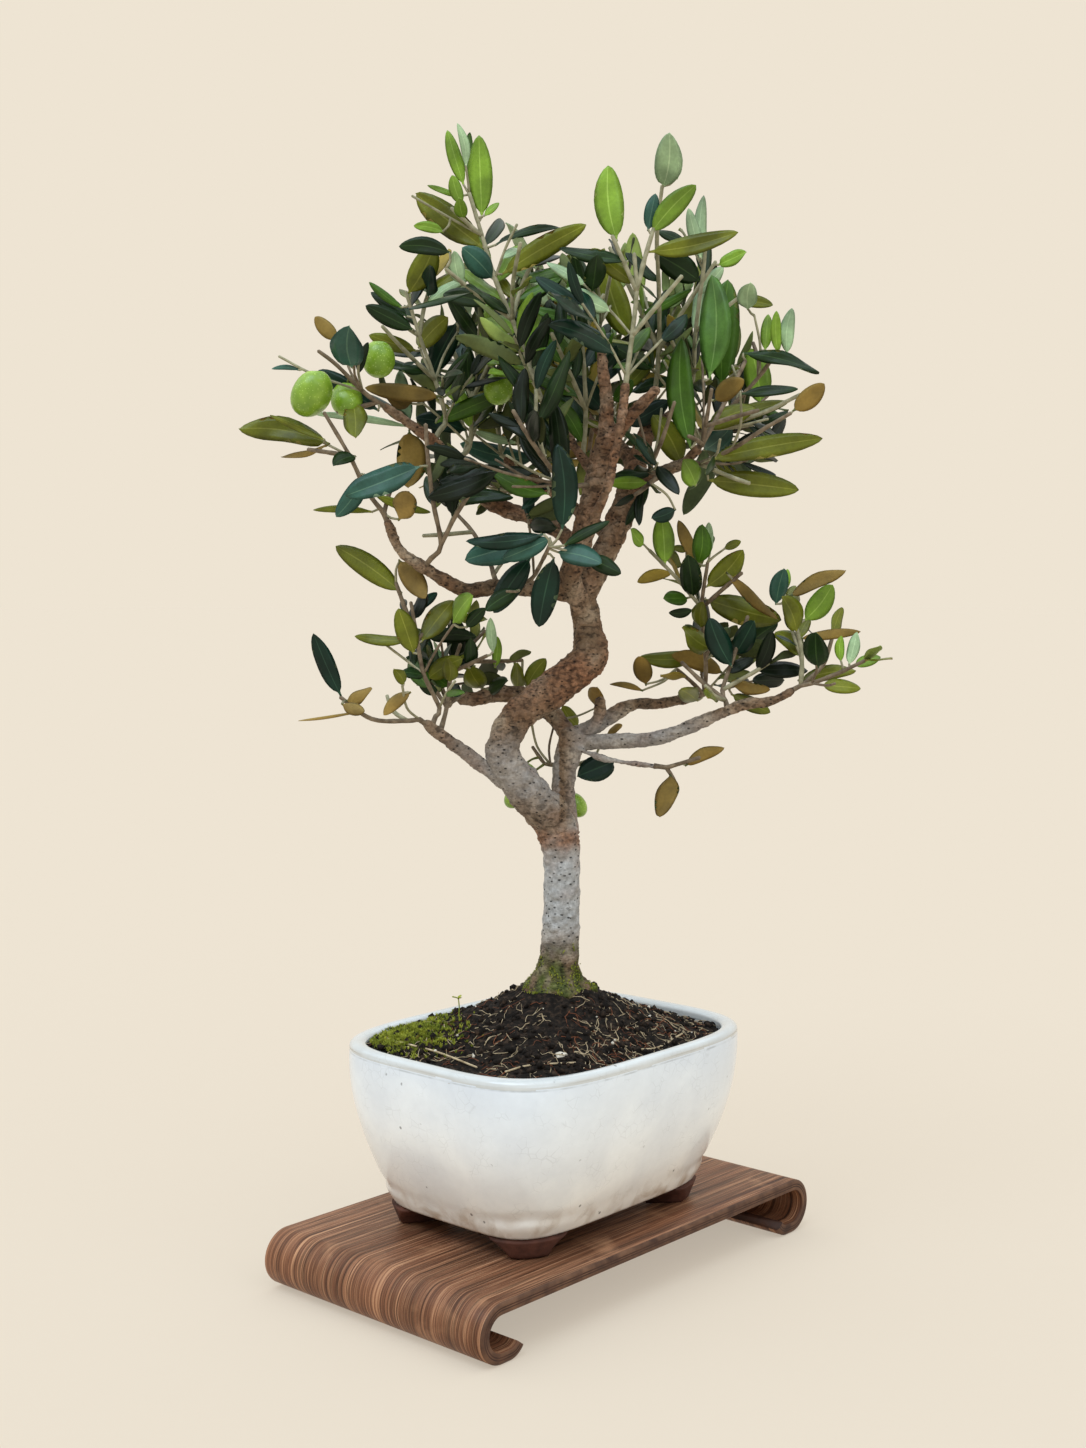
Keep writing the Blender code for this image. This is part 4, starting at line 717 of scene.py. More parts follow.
def in_box(samples):
    """True where the leaf keeps to the solids' box."""
    low, high = np.array(CAD_BOX) + np.array([[-BOX_SLACK], [BOX_SLACK]]) * MM
    places = row_of(samples)
    return not ((places < low).any() or (places > high).any())


def shows_well(samples):
    """True where the leaf keeps to the solids' box and the photo has leaves at its places."""
    if not in_box(samples):
        return False
    seen = photo_place(samples[2::SAMPLE_ROW])
    for u0, v0, u1, v1 in SKY:
        if ((seen > (u0, v0)) & (seen < (u1, v1))).all(1).any():
            return False
    return all(sum(inside(edge, seen) for edge in (CROWN_EDGE, LOWER_LEFT_EDGE, LOWER_RIGHT_EDGE)))


class Kept:
    """The leaves that are already there, so that the next one keeps off them."""

    def __init__(self):
        self.points = np.zeros((0, 3))
        self.seen = np.zeros((0, 3))

    def add(self, samples, seen=False):
        """Keep the space of one more leaf, and what it covers in the photo where that shows it."""
        self.points = np.vstack([self.points, samples])
        if seen:
            places = np.column_stack([photo_place(samples), samples[:, 1]])
            self.seen = np.vstack([self.seen, places])

    def free(self, samples, apart):
        """True where the samples are this far from every kept leaf."""
        low, high = samples.min(0) - apart, samples.max(0) + apart
        close = self.points[((self.points > low) & (self.points < high)).all(1)]
        if not len(close):
            return True
        return np.linalg.norm(samples[:, None] - close[None], axis=-1).min() > apart

    def hides(self, samples):
        """True where a leaf with these samples would stand before one that the photo shows."""
        places = photo_place(samples)
        low, high = places.min(0) - HIDE_NEAR, places.max(0) + HIDE_NEAR
        seen = self.seen[((self.seen[:, :2] > low) & (self.seen[:, :2] < high)).all(1)]
        if not len(seen):
            return False
        away = np.linalg.norm(places[:, None] - seen[None, :, :2], axis=-1)
        before = samples[:, None, 1] < seen[None, :, 2] + HIDE_SLACK
        return bool(((away < HIDE_NEAR) & before).any(1).sum() > HIDE_SHARE * len(samples))


def nearest_twig(fine, place):
    """The shoot and the point of its twigs that the photo shows nearest to the place."""
    best = None
    for name, (points, places) in fine.items():
        away = np.linalg.norm(places - np.array(place), axis=1)
        index = int(np.argmin(away))
        if best is None or away[index] < best[0]:
            best = (away[index], name, points[index])
    return best[1], best[2]


def seen_leaf(root, tip, width, point, shift, chance):
    """A leaf that the photo shows between two pixels, at the depth of the twig's point and its shift."""
    start = seen_at(*root, point[1] + shift)
    flat = seen_at(*tip, point[1] + shift)
    far = (start[1] - EYE[1]) / FOCAL_PX
    wide = width * far * SEEN_FULL
    long = max(np.linalg.norm(flat - start), wide * SEEN_SLIM)
    lean = math.sqrt(max(long ** 2 - np.linalg.norm(flat - start) ** 2, 0.0))
    lean = -lean + chance.uniform(-SEEN_LEAN, SEEN_LEAN) * long * 0.6
    end = seen_at(*tip, point[1] + shift + lean)
    direction = unit(end - start)
    facing = unit(EYE - start) + np.array([chance.uniform(-SEEN_FACE, SEEN_FACE) for _ in range(3)])
    facing = facing + np.array((0, 0, SEEN_FACE_UP))
    normal = unit(facing - direction * (facing @ direction))
    side = np.cross(direction, normal)
    return Leaf(start, direction, side, normal, np.linalg.norm(end - start), wide,
                chance.uniform(*SEEN_DROOP))


def seat_of(samples, limbs, all_twigs, kept):
    """How well a leaf is clear of the limbs, the twigs and the other leaves, and inside the box."""
    off_twigs = SEEN_TWIG_PULL * all_twigs.clearance(samples[3 * SAMPLE_ROW:]).min()
    gap = min(limbs.clearance(samples).min(), off_twigs)
    gap = min(gap, 1.0) + (SEEN_FREE if kept.free(samples, LEAF_LEAF_CLEAR) else 0.0)
    return gap - (0.0 if in_box(samples) else SEEN_OUTSIDE)


def stalk_of(leaf, point):
    """The stalk from the twig's point to the leaf, or None where the leaf sits on the twig."""
    away = np.linalg.norm(leaf.root - point)
    if away <= STALK_FROM:
        return None
    middle = (leaf.root + point) / 2 - leaf.direction * away * STALK_CURVE
    stations = [(*point, STALK_TWIG * 1.4), (*middle, STALK_TWIG * 1.2),
                (*(leaf.root + leaf.direction * 0.6), STALK_TWIG)]
    return smooth(stations, 2.0)


def grow_seen_leaves(twigs, limbs, kept):
    """The leaves that the photo shows plainly, each with the twig that carries it."""
    chance = random.Random(71)
    fine = {}
    for name, lines in twigs.items():
        points = np.vstack([smooth(line, 1.5)[2:, :3] for line in lines])
        fine[name] = (points, photo_place(points))
    all_twigs = Lines([line for lines in twigs.values() for line in lines])
    grown = []
    for u0, v0, u1, v1, width, tone in [row for rows in SEEN_LEAVES.values() for row in rows]:
        name, point = nearest_twig(fine, (u0, v0))
        best = None
        for shift in SEEN_SHIFTS:
            leaf = seen_leaf((u0, v0), (u1, v1), width, point, shift, chance)
            samples = leaf_samples(leaf)
            gap = seat_of(samples, limbs, all_twigs, kept)
            if best is None or gap > best[0] + SEEN_BETTER:
                best = (gap, leaf, samples)
            if gap > SEEN_ENOUGH:
                break
        _, leaf, samples = best
        kept.add(samples, True)
        grown.append((name, leaf, tone, stalk_of(leaf, point)))
    for name, direction, length, width, tone in FORWARD_LEAVES:
        direction = unit(direction)
        normal = unit(np.array((0, 0, 1.0)) - direction * direction[2])
        root = twigs[name][0][-1, :3] - direction * LEAF_SINK
        leaf = Leaf(root, direction, np.cross(direction, normal), normal, length, width, FORWARD_DROOP)
        kept.add(leaf_samples(leaf), True)
        grown.append((name, leaf, tone, None))
    return grown


# Stems that the photo shows bare between their leaves.
OPEN_STEMS = ("top_left_leader", "top_middle_leader", "top_right_leader")
OPEN_LIMBS = ("fore_leader", "fore_stub", "fore_side_stub")


def keep_open(twigs, kept):
    """Keep the places of the stems that the photo shows."""
    lines = [twigs[name][0] for name in OPEN_STEMS] + [bough_line(name) for name in OPEN_LIMBS]
    for line in lines:
        points = smooth(line, 2.0)[:, :3]
        kept.seen = np.vstack([kept.seen, np.column_stack([photo_place(points), points[:, 1]])])


def leaf_nodes(line, shoot, first):
    """The places along a twig that carry pairs of leaves, from its tip: point, run and size."""
    fine = smooth(line, 1.0)[:, :3]
    run_on = np.concatenate([[0.0], np.cumsum(np.linalg.norm(np.diff(fine, axis=0), axis=1))])
    for order, at in enumerate(np.arange(run_on[-1], first, -shoot.pitch * FINE_PITCH)):
        where = max(int(np.searchsorted(run_on, at - 1e-6)), 1)
        run = unit(fine[where] - fine[max(where - 4, 0)])
        point = fine[where] - run * (TIP_INSET if order == 0 else 0.0)
        yield order, point, run, shoot.leaf * (TIP_SIZE if order == 0 else 1.0)


def rule_leaf(shoot, node, start, chance, fits):
    """One leaf of a pair at a node, turned and shortened until it fits; None where it can't."""
    order, point, run, size = node
    for attempt in range(TRIES):
        jitter = chance.uniform(-TURN_JITTER, TURN_JITTER) * (attempt + 1)
        turn = math.radians(start + jitter)
        spread = shoot.spread[min(order, 1)] + chance.uniform(*SPREAD_JITTER)
        reach = size * chance.uniform(*SIZE_JITTER) * (1 - attempt / (2.5 * TRIES))
        leaf = make_leaf(point, run, turn, math.radians(spread), reach, shoot.slim, chance)
        samples = leaf_samples(leaf)
        if fits(samples, point):
            return leaf, samples
    return None


def grow_rule_leaves(twigs, kept):
    """The other leaves, by the source's rule: opposite pairs that turn a right angle from node to node."""
    keep_off = Lines([line for lines in twigs.values() for line in lines])
    fruit = [np.array([(*olive[:3], olive[3]), (olive[0], olive[1], olive[2] + 0.01, olive[3])])
             for shoot in SHOOTS.values() for olive in shoot.fruit]
    limbs = Lines(fruit + [bough_line(name) for name in LIMBS])

    def fits(samples, point):
        """True where the leaf shows well and is clear of everything."""
        if not shows_well(samples) or not kept.free(samples, LEAF_LEAF_CLEAR) or kept.hides(samples):
            return False
        if limbs.near(point).clearance(samples).min() < LEAF_CLEAR:
            return False
        return keep_off.near(point).clearance(samples[3 * SAMPLE_ROW:]).min() >= TWIG_LEAF_CLEAR

    grown = []
    for name, shoot in SHOOTS.items():
        chance = random.Random(shoot.seed + RULE_SEED)
        for index, line in enumerate(twigs[name]):
            phase = chance.uniform(0, 90)
            for node in leaf_nodes(line, shoot, STEM_BARE if index == 0 else FORK_BARE):
                for half in (0, 180):
                    found = rule_leaf(shoot, node, phase + PAIR_TURN * node[0] + half, chance, fits)
                    if found is not None:
                        grown.append((name, found[0], None, None))
                        kept.add(found[1])
    return grown


class Pile:
    """Points, faces and their materials, gathered for one mesh; row coordinates in metres."""

    def __init__(self):
        self.points = []
        self.faces = []
        self.slots = []
        self.count = 0

    def gather(self, points, faces, slots):
        """Add points as they are, with faces that count them from 0."""
        self.points.append(np.asarray(points, float))
        self.faces.extend([tuple(index + self.count for index in face) for face in faces])
        self.slots.extend([slots] * len(faces) if isinstance(slots, int) else slots)
        self.count += len(points)

    def add(self, shape, slots=0, turned=True):
        """Add points and faces that are on the tree's axes (turned) or on the stand's."""
        points, faces = shape
        self.gather(row_of(points, turned), faces, slots)

    def mesh(self, name, rounded=True):
        """The gathered shapes as one mesh."""
        made = bpy.data.meshes.new(name)
        made.from_pydata(np.vstack(self.points).tolist(), [], self.faces)
        made.polygons.foreach_set("material_index", self.slots)
        made.polygons.foreach_set("use_smooth", [rounded] * len(self.faces))
        made.update()
        return made


def show(name, mesh, finishes, nodes):
    """Put a piece in the scene, give it its materials and hide the parts that it replaces."""
    piece = bpy.data.objects.new(name, mesh)
    bpy.context.scene.collection.objects.link(piece)
    for finish in finishes:
        mesh.materials.append(finish)
    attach(piece, "root")
    if nodes:
        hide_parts(*nodes)
    return piece


def along_frames(line):
    """Two directions across the line at each of its points, turned no more than the line itself."""
    runs = np.gradient(line[:, :3], axis=0)
    across = unit(np.cross(runs[0], LEVEL_HINT))
    frames = []
    for run in runs:
        run = unit(run)
        across = unit(across - run * (across @ run))
        frames.append((across, np.cross(run, across)))
    return frames


def side_faces(rows, count):
    """The faces between rings of equal count, which follow one another."""
    return [(row * count + index, row * count + (index + 1) % count,
             (row + 1) * count + (index + 1) % count, (row + 1) * count + index)
            for row in range(rows - 1) for index in range(count)]


def loft_faces(rows, count):
    """The faces of a closed loft: between its rings, under the first and over the last."""
    ends = [tuple(range(count - 1, -1, -1)), tuple(range((rows - 1) * count, rows * count))]
    return side_faces(rows, count) + ends


def tube_shape(line, sides, rough=0.0, seed=0.0):
    """A closed tapering tube along the line: points on the tree's axes, and faces."""
    points = []
    for (x, y, z, radius), (across, up) in zip(line, along_frames(line)):
        for index in range(sides):
            angle = 2 * math.pi * index / sides
            out = across * math.cos(angle) + up * math.sin(angle)
            grow = 1 + rough * noise.noise(Vector((x * TUBE_GRAIN + seed, y * TUBE_GRAIN + 3 * index,
                                                   z * TUBE_GRAIN)))
            points.append(np.array((x, y, z)) + out * radius * grow)
    run = unit(line[-1, :3] - line[-2, :3])
    points.append(line[-1, :3] + run * line[-1, 3] * TUBE_TIP)
    points.append(line[0, :3])
    faces = side_faces(len(line), sides)
    last, tip = (len(line) - 1) * sides, len(line) * sides
    for index in range(sides):
        after = (index + 1) % sides
        faces.append((last + index, last + after, tip))
        faces.append((after, index, tip + 1))
    return points, faces


# A tube's uneven grain, and how far its tip stands out.
TUBE_GRAIN = 0.3
TUBE_TIP = 0.7

# A leaf's blade: how far along it its rows stand, the widest place, how full it is, and its parts across.
BLADE_ROWS = (0.0, 0.035, 0.075, 0.12, 0.19, 0.28, 0.38, 0.49, 0.6, 0.71, 0.81, 0.9, 0.96, 1.0)
BLADE_TOP = (-1.0, -0.55, -0.05, 0.05, 0.55, 1.0)
BLADE_UNDER = (0.6, 0.2, -0.2, -0.6)
BLADE_START = 0.065
BLADE_WIDE_AT = 0.47
BLADE_FULL = 1.2
STALK_HALF = 0.52
BLADE_THICK = 0.42
BLADE_TIP = 0.12
TWIST_FROM = 0.3
RIB_RISE = 0.1
RIB_TONE = 0.45

# How far each blade may be folded, rolled, bent sideways, twisted and waved, and where its waves start.
BLADE_WAYS = ((0.06, 0.34), (0.05, 0.3), (-0.07, 0.07), (-0.5, 0.5), (0.0, 0.035), (0, 6))


def blade_half(u, leaf):
    """Half the blade's width at share u of the leaf's length."""
    if u <= BLADE_START:
        return STALK_HALF
    t = (u - BLADE_START) / (1 - BLADE_START)
    wide = BLADE_WIDE_AT
    shape = (t / wide) ** (BLADE_FULL * wide) * (max(1 - t, 0) / (1 - wide)) ** (BLADE_FULL * (1 - wide))
    return max(leaf.width / 2 * shape, STALK_HALF * (1 - t) + BLADE_TIP)


def leaf_shape(leaf, turned, chance):
    """The leaf as a closed thin blade on a short stalk: points, faces and each face's part."""
    fold, roll, sway, twist, wave, beat = [chance.uniform(*reach) for reach in BLADE_WAYS]
    normal = -leaf.normal if turned else leaf.normal
    side = -leaf.side if turned else leaf.side
    points = []
    for u in BLADE_ROWS:
        half = blade_half(u, leaf)
        arch = leaf.normal * (-leaf.droop * leaf.length * u * u)
        middle = leaf.root + leaf.direction * leaf.length * u + arch
        middle = middle + side * sway * leaf.length * math.sin(math.pi * u)
        angle = twist * (u - TWIST_FROM)
        flat = side * math.cos(angle) + normal * math.sin(angle)
        high = normal * math.cos(angle) - side * math.sin(angle)
        thick = BLADE_THICK if u > BLADE_START else 2 * STALK_HALF * 0.9
        for v in BLADE_TOP + BLADE_UNDER:
            upper = v in BLADE_TOP
            cup = half * (fold * abs(v) - roll * v * v)
            rise = cup + RIB_RISE * (abs(v) < 0.1) if upper else cup - thick * (1 - 0.45 * abs(v))
            rise += leaf.length * wave * math.sin(9 * u + beat + v) * v * (u > 0.1)
            points.append(middle + flat * half * v * (1.0 if upper else 0.96) + high * rise)
    ring = len(BLADE_TOP) + len(BLADE_UNDER)
    parts = []
    for after in BLADE_ROWS[1:]:
        on_stalk = after <= BLADE_START + 0.02
        parts += [2 if index == 2 or on_stalk else (0 if index < 5 else 1) for index in range(ring)]
    return points, loft_faces(len(BLADE_ROWS), ring), parts + [1, 0]


# The colours of the leaves in the photo: upper side, underside and midrib, as 0 to 255 in each channel.
TONES = {
    # The 'shade' tone is leaf colour darkened to paint the shade inside the crown.
    "shade": ((10, 26, 6), (62, 70, 36), (34, 54, 24)),
    "dark": ((26, 50, 18), (92, 102, 56), (66, 94, 42)),
    "deep": ((18, 48, 36), (84, 100, 70), (58, 92, 68)),
    "blue": ((54, 94, 82), (112, 130, 98), (108, 138, 112)),
    "green": ((68, 106, 28), (116, 124, 60), (112, 146, 64)),
    "olive": ((110, 117, 32), (136, 120, 52), (146, 146, 68)),
    "young": ((124, 160, 54), (150, 170, 88), (162, 188, 98)),
    "fresh": ((92, 136, 58), (128, 146, 88), (140, 168, 98)),
    "pale": ((164, 194, 152), (176, 196, 156), (194, 214, 176)),
    "brown": ((62, 76, 32), (122, 100, 48), (98, 98, 54)),
    "tan": ((88, 92, 44), (142, 120, 66), (122, 112, 66)),
}
TURNED_TONES = ("brown", "tan")
SECOND_TONE_SHARE = 0.4
HIGH_Z = 455.0
# The tones dealt out by height; 'shade' among them is painted shade for the crown's inside.
HIGH_TONES = ("young", "pale", "fresh", "green", "green", "olive", "shade", "dark", "dark")
MIDDLE_TONES = ("shade", "shade", "shade", "dark", "dark", "deep", "deep", "olive", "green")
LOW_TONES = ("olive", "olive", "dark", "green", "brown", "shade", "young")


def spray_tones(line, chance):
    """The two tones that the leaves of one twig share."""
    z = line[-1, 2]
    tones = HIGH_TONES if z > HIGH_Z else (MIDDLE_TONES if z > TURNED_LOW_Z else LOW_TONES)
    return chance.choice(tones), chance.choice(tones)


def piece_of(stem):
    """The piece of foliage that a stem's leaves belong to."""
    if stem[-1, 2] < TURNED_LOW_Z:
        return "lower_leaves"
    return "crown_leaves_front" if stem[-1, 1] < FRONT_Y / 2 else "crown_leaves_back"


def make_foliage(twigs, grown, finishes):
    """Every leaf as a blade, in one piece for each part of the crown."""
    chance = random.Random(19)
    sprays = {(name, index): spray_tones(line, chance)
              for name, lines in twigs.items() for index, line in enumerate(lines)}
    piles = {"crown_leaves_front": Pile(), "crown_leaves_back": Pile(), "lower_leaves": Pile()}
    carried = {piece: set() for piece in piles}
    names = list(TONES)
    for name, leaf, tone, _ in grown:
        spray = nearest_line(twigs[name], leaf.root)
        share = TURNED_SHARE_LOW if leaf.root[2] < TURNED_LOW_Z else TURNED_SHARE_HIGH
        if tone is None:
            tone = sprays[name, spray][chance.random() < SECOND_TONE_SHARE]
            turned = chance.random() < share
        else:
            turned = tone in TURNED_TONES
        points, faces, parts = leaf_shape(leaf, turned, chance)
        piece = piece_of(twigs[name][0])
        base = 3 * names.index(tone)
        piles[piece].add((points, faces), [base + part for part in parts])
        carried[piece].add(name)
    for piece, pile in piles.items():
        show(piece, pile.mesh(piece), finishes, sorted(carried[piece]))


def nearest_line(lines, place):
    """Which of the lines has the station nearest to the place."""
    return int(np.argmin([np.linalg.norm(line[:, :3] - place, axis=1).min() for line in lines]))


def sunk_end(line):
    """One more station before the line's first, sunk into the limb that carries it."""
    run = unit(line[1, :3] - line[0, :3])
    return np.array([(*(line[0, :3] - run * TWIG_SINK), line[0, 3] * TWIG_SOCKET)])


def make_twigs(twigs, grown, finishes):
    """The stems, side twigs and leaf stalks of all the shoots, joined."""
    chance = random.Random(23)
    pile = Pile()
    for name, lines in twigs.items():
        fresh = lines[0][-1, 2] > HIGH_Z
        for index, line in enumerate(lines):
            fine = smooth(line, TWIG_GRAIN)
            if index == 0:
                fine = np.vstack([sunk_end(fine), fine])
            swell = np.array([1 + TWIG_SWELL * noise.noise(Vector(point[:3] * 0.35)) for point in fine])
            fine[:, 3] *= swell * TWIG_SLIM
            young = fresh or (index and chance.random() < YOUNG_SHARE)
            pile.add(tube_shape(fine, 8, TWIG_ROUGH, index), 0 if young else 1)
    for stalk in [entry[3] for entry in grown if entry[3] is not None]:
        pile.add(tube_shape(stalk, 6))
    show("twigs", pile.mesh("twigs"), finishes, list(SHOOTS))


def olive_shape(centre, radius, lean, rows=14, sides=20):
    """An olive: an egg with a small dimple where its stalk goes in."""
    points = []
    for row in range(rows + 1):
        turn = math.pi * row / rows
        out = radius * math.sin(turn) * (1 - 0.05 * math.cos(turn))
        up = radius * OLIVE_LENGTH * math.cos(turn)
        up -= radius * DIMPLE * math.exp(-(out / (DIMPLE * radius)) ** 2) * (turn < 1)
        for index in range(sides):
            angle = 2 * math.pi * index / sides
            across = out * math.cos(angle) + lean[0] * up, out * math.sin(angle) + lean[1] * up
            points.append(np.array(centre) + np.array((*across, up)))
    faces = [(row * sides + index, (row + 1) * sides + index,
              (row + 1) * sides + (index + 1) % sides, row * sides + (index + 1) % sides)
             for row in range(rows) for index in range(sides)]
    return points, faces


def make_olives(twigs, fruit_skin, stalk_skin):
    """The olives, and the short stalks that carry them."""
    chance = random.Random(29)
    fruit = Pile()
    stalks = Pile()
    for name, shoot in SHOOTS.items():
        own = np.vstack([smooth(line, 1.0)[2:] for line in twigs[name]])
        for x, y, z, radius in shoot.fruit:
            centre = np.array((x, y, z))
            lean = (chance.uniform(-OLIVE_LEAN, OLIVE_LEAN), chance.uniform(-OLIVE_LEAN, OLIVE_LEAN))
            fruit.add(olive_shape(centre, radius, lean))
            top = centre + np.array((lean[0], lean[1], 1.0)) * radius * STALK_DEEP
            root = own[int(np.argmin(np.linalg.norm(own[:, :3] - top, axis=1)))]
            middle = (top + root[:3]) / 2 + np.array((0, 0, STALK_BOW))
            line = [(*root[:3], STALK_ENDS[0]), (*middle, STALK_MIDDLE), (*top, STALK_ENDS[1])]
            stalks.add(tube_shape(smooth(line, 1.5), 8))
    show("olives", fruit.mesh("olives"), [fruit_skin], [])
    show("olive_stalks", stalks.mesh("olive_stalks"), [stalk_skin], [])


# Twigs, stalks and olives: how swollen and rough the twigs are, and how olives hang.
TWIG_SLIM = 0.82
TWIG_SINK = 2.4
TWIG_SOCKET = 1.15
TWIG_GRAIN = 3.0
TWIG_SWELL = 0.16
TWIG_ROUGH = 0.12
YOUNG_SHARE = 0.45
OLIVE_LEAN = 0.3
DIMPLE = 0.22
STALK_DEEP = 0.9
STALK_BOW = 0.8
STALK_ENDS = (0.75, 0.7)
STALK_MIDDLE = 0.55

# The bark: the grain of the mesh that joins the limbs, and the depth of its relief.
BARK_STEP = 0.8
BARK_SIDES = 20
LIMB_GRAIN = 1.6
LIMB_ROUGH = 0.16
TRUNK_SINK = (4, 5)
FLARE_SPREAD = 0.24
RELIEF = 0.8
COLLAR_Z = (199.0, 212.0)
COLLAR_REACH = 8.0
MOSS_TOP_Z = 158.0
MOSS_FADE = 16.0
SMOOTH_Z = 178.0
ROUGH_Z = (262.0, 308.0)
SCAR_AT = (17.0, -8.0, 280.0)
SCAR_REACH = 6.5
LIMB_GROUPS = {
    "bark_trunk": ("trunk",),
    "bark_right": ("right_stem", "low_right_bough", "high_right_bough", "under_right_bough",
                   "right_crown_bough", "back_right_crown_bough", "back_bough"),
    "bark_left": ("back_left_bough", "knuckle_stub", "low_left_bough", "mid_left_bough", "high_left_bough",
                  "left_leader_bough", "fore_bough", "fore_stub", "fore_side_stub", "fore_leader",
                  "back_left_crown_bough"),
}


def bump(at, centre, reach):
    """1 at the centre, falling smoothly to 0 at the reach."""
    away = abs(at - centre) / reach
    return 0.0 if away >= 1 else (1 - away * away) ** 2


def flared(points):
    """The trunk's points with its foot spread out and lobed."""
    foot = np.array(LIMBS["trunk"].stations[0][:2])
    for point in points:
        out = point[:2] - foot
        point[:2] = foot + out * flare_growth(point[2], math.atan2(out[1], out[0]))


def flare_growth(z, angle):
    """How much wider the trunk's foot is at a height and an angle round it."""
    fade = max(0.0, 1 - max(z - SOIL_TOP_Z, 0) / (FLARE_TOP_Z - SOIL_TOP_Z)) ** 2
    return 1 + FLARE_SPREAD * fade + FLARE_DEPTH * fade * math.cos(FLARE_LOBES * angle)


def limb_mesh(names):
    """The limbs as one closed skin with an even fine grain."""
    pile = Pile()
    for name in names:
        line = smooth(bough_line(name), LIMB_GRAIN)
        if name == "trunk":
            line = line[line[:, 2] > SOIL_TOP_Z - TRUNK_SINK[0]]
            first = line[0].copy()
            first[2] = SOIL_TOP_Z - TRUNK_SINK[1]
            line = np.vstack([first, line])
        points, faces = tube_shape(line, BARK_SIDES, LIMB_ROUGH, len(name))
        points = [np.array(point) for point in points]
        if name == "trunk":
            flared(points)
        pile.gather(points, faces, 0)
    mesh = pile.mesh("limbs")
    blank = bpy.data.objects.new("limbs", mesh)
    bpy.context.scene.collection.objects.link(blank)
    skin = blank.modifiers.new("skin", "REMESH")
    skin.mode = "VOXEL"
    skin.voxel_size = BARK_STEP
    skin.use_smooth_shade = True
    even = blank.modifiers.new("even", "SMOOTH")
    even.factor = 0.5
    even.iterations = 3
    depsgraph = bpy.context.evaluated_depsgraph_get()
    made = bpy.data.meshes.new_from_object(blank.evaluated_get(depsgraph), depsgraph=depsgraph)
    bpy.data.objects.remove(blank)
    bpy.data.meshes.remove(mesh)
    return made


def bark_relief(x, y, z, on_trunk):
    """How far the bark stands out at a place on the tree, and its three colour shares."""
    place = Vector((x, y, z))
    lumps = noise.noise(place * 0.11) * 0.75 + noise.noise(place * 0.27 + Vector((9, 0, 0))) * 0.45
    grain = noise.noise(Vector((x * 0.9, y * 0.9, z * 0.3))) * 0.28
    wrinkle = noise.noise(Vector((x * 0.22, y * 0.22, z * 1.25))) * 0.34
    fine = noise.noise(place * 1.7) * 0.12
    low = clamp((MOSS_TOP_Z + 6.0 * noise.noise(place * 0.2) - z) / MOSS_FADE)
    collar = bump(z, 0.5 * sum(COLLAR_Z) + 1.2 * noise.noise(place * 0.3), COLLAR_REACH)
    edge = 5.0 * noise.noise(place * 0.12)
    rough = clamp((z + edge - ROUGH_Z[0]) / 16.0) * clamp((ROUGH_Z[1] - z + edge) / 26.0)
    rough *= 1.0 if on_trunk else 0.3
    ridge = noise.noise(Vector((x * 0.25 + 4, y * 0.25, z * 0.85))) * (1.1 * collar + 0.9 * rough)
    scar = bump(math.dist((x, y, z), SCAR_AT), SCAR_REACH * 0.55, SCAR_REACH * 0.5)
    pit = bump(math.dist((x, y, z), SCAR_AT), 0.0, SCAR_REACH * 0.62)
    root = 1.1 * low * noise.noise(Vector((x * 0.35, y * 0.35, z * 0.1)))
    depth = RELIEF * (lumps + grain + wrinkle + fine + ridge + root) + 0.9 * scar - 1.5 * pit
    smoother = 1 - 0.6 * bump(z, SMOOTH_Z, 30.0)
    depth = depth * smoother
    brown = max(0.75 * collar, 0.7 * rough) + 0.4 * clamp((z - 300) / 60)
    brown += 0.5 * noise.noise(place * 0.09)
    moss = low * clamp(0.75 + 1.6 * noise.noise(place * 0.16))
    pale = 1.4 * bump(z, 180.0, 38.0) + 0.6 * bump(z, 236.0, 26.0) * (x < 2)
    pale += 0.6 * clamp((x - 4.0) / 8.0) * clamp((266.0 - z) / 10.0) * (z > 205.0)
    return depth, (clamp(brown), min(moss, 1.0), clamp(pale), 1.0)


def make_bark(finish):
    """The trunk and boughs as joined skins with the bark's relief worked into them."""
    for piece, names in LIMB_GROUPS.items():
        mesh = limb_mesh(names)
        points = np.empty(len(mesh.vertices) * 3)
        mesh.vertices.foreach_get("co", points)
        points = points.reshape(-1, 3)
        normals = np.array([vertex.normal[:] for vertex in mesh.vertices])
        zones = []
        for index, (x, y, z) in enumerate(points.tolist()):
            depth, shares = bark_relief(x, y, z, names[0] == "trunk")
            points[index] += normals[index] * depth
            zones.extend(shares)
        mesh.vertices.foreach_set("co", row_of(points).ravel())
        shares = mesh.color_attributes.new("zones", "FLOAT_COLOR", "POINT")
        shares.data.foreach_set("color", zones)
        mesh.update()
        mesh.name = piece
        show(piece, mesh, [finish], names)


# How finely the pot, the soil and the feet are made.
POT_POINTS = 176
GROOVE_Z = (8.5, 4.6)
GROOVE_DEPTH = 0.7
BULGE_Z = (4.4, 5.0)
POT_WANDER = 0.22
CORNER_ARC = 0.42
BASE_ROUND = (1.4, 1.3)
FINE_SIDE = 17
LIP_STEPS = 14
SPILL = 1.4
FOOT_ROWS = 9
FOOT_STEPS = 26
FOOT_END = 0.08
FOOT_END_IN = 2.0
FOOT_WORN = 0.7
CLAY_ROUGH = 0.18
SOIL_RINGS = 46
SOIL_POINTS = 150

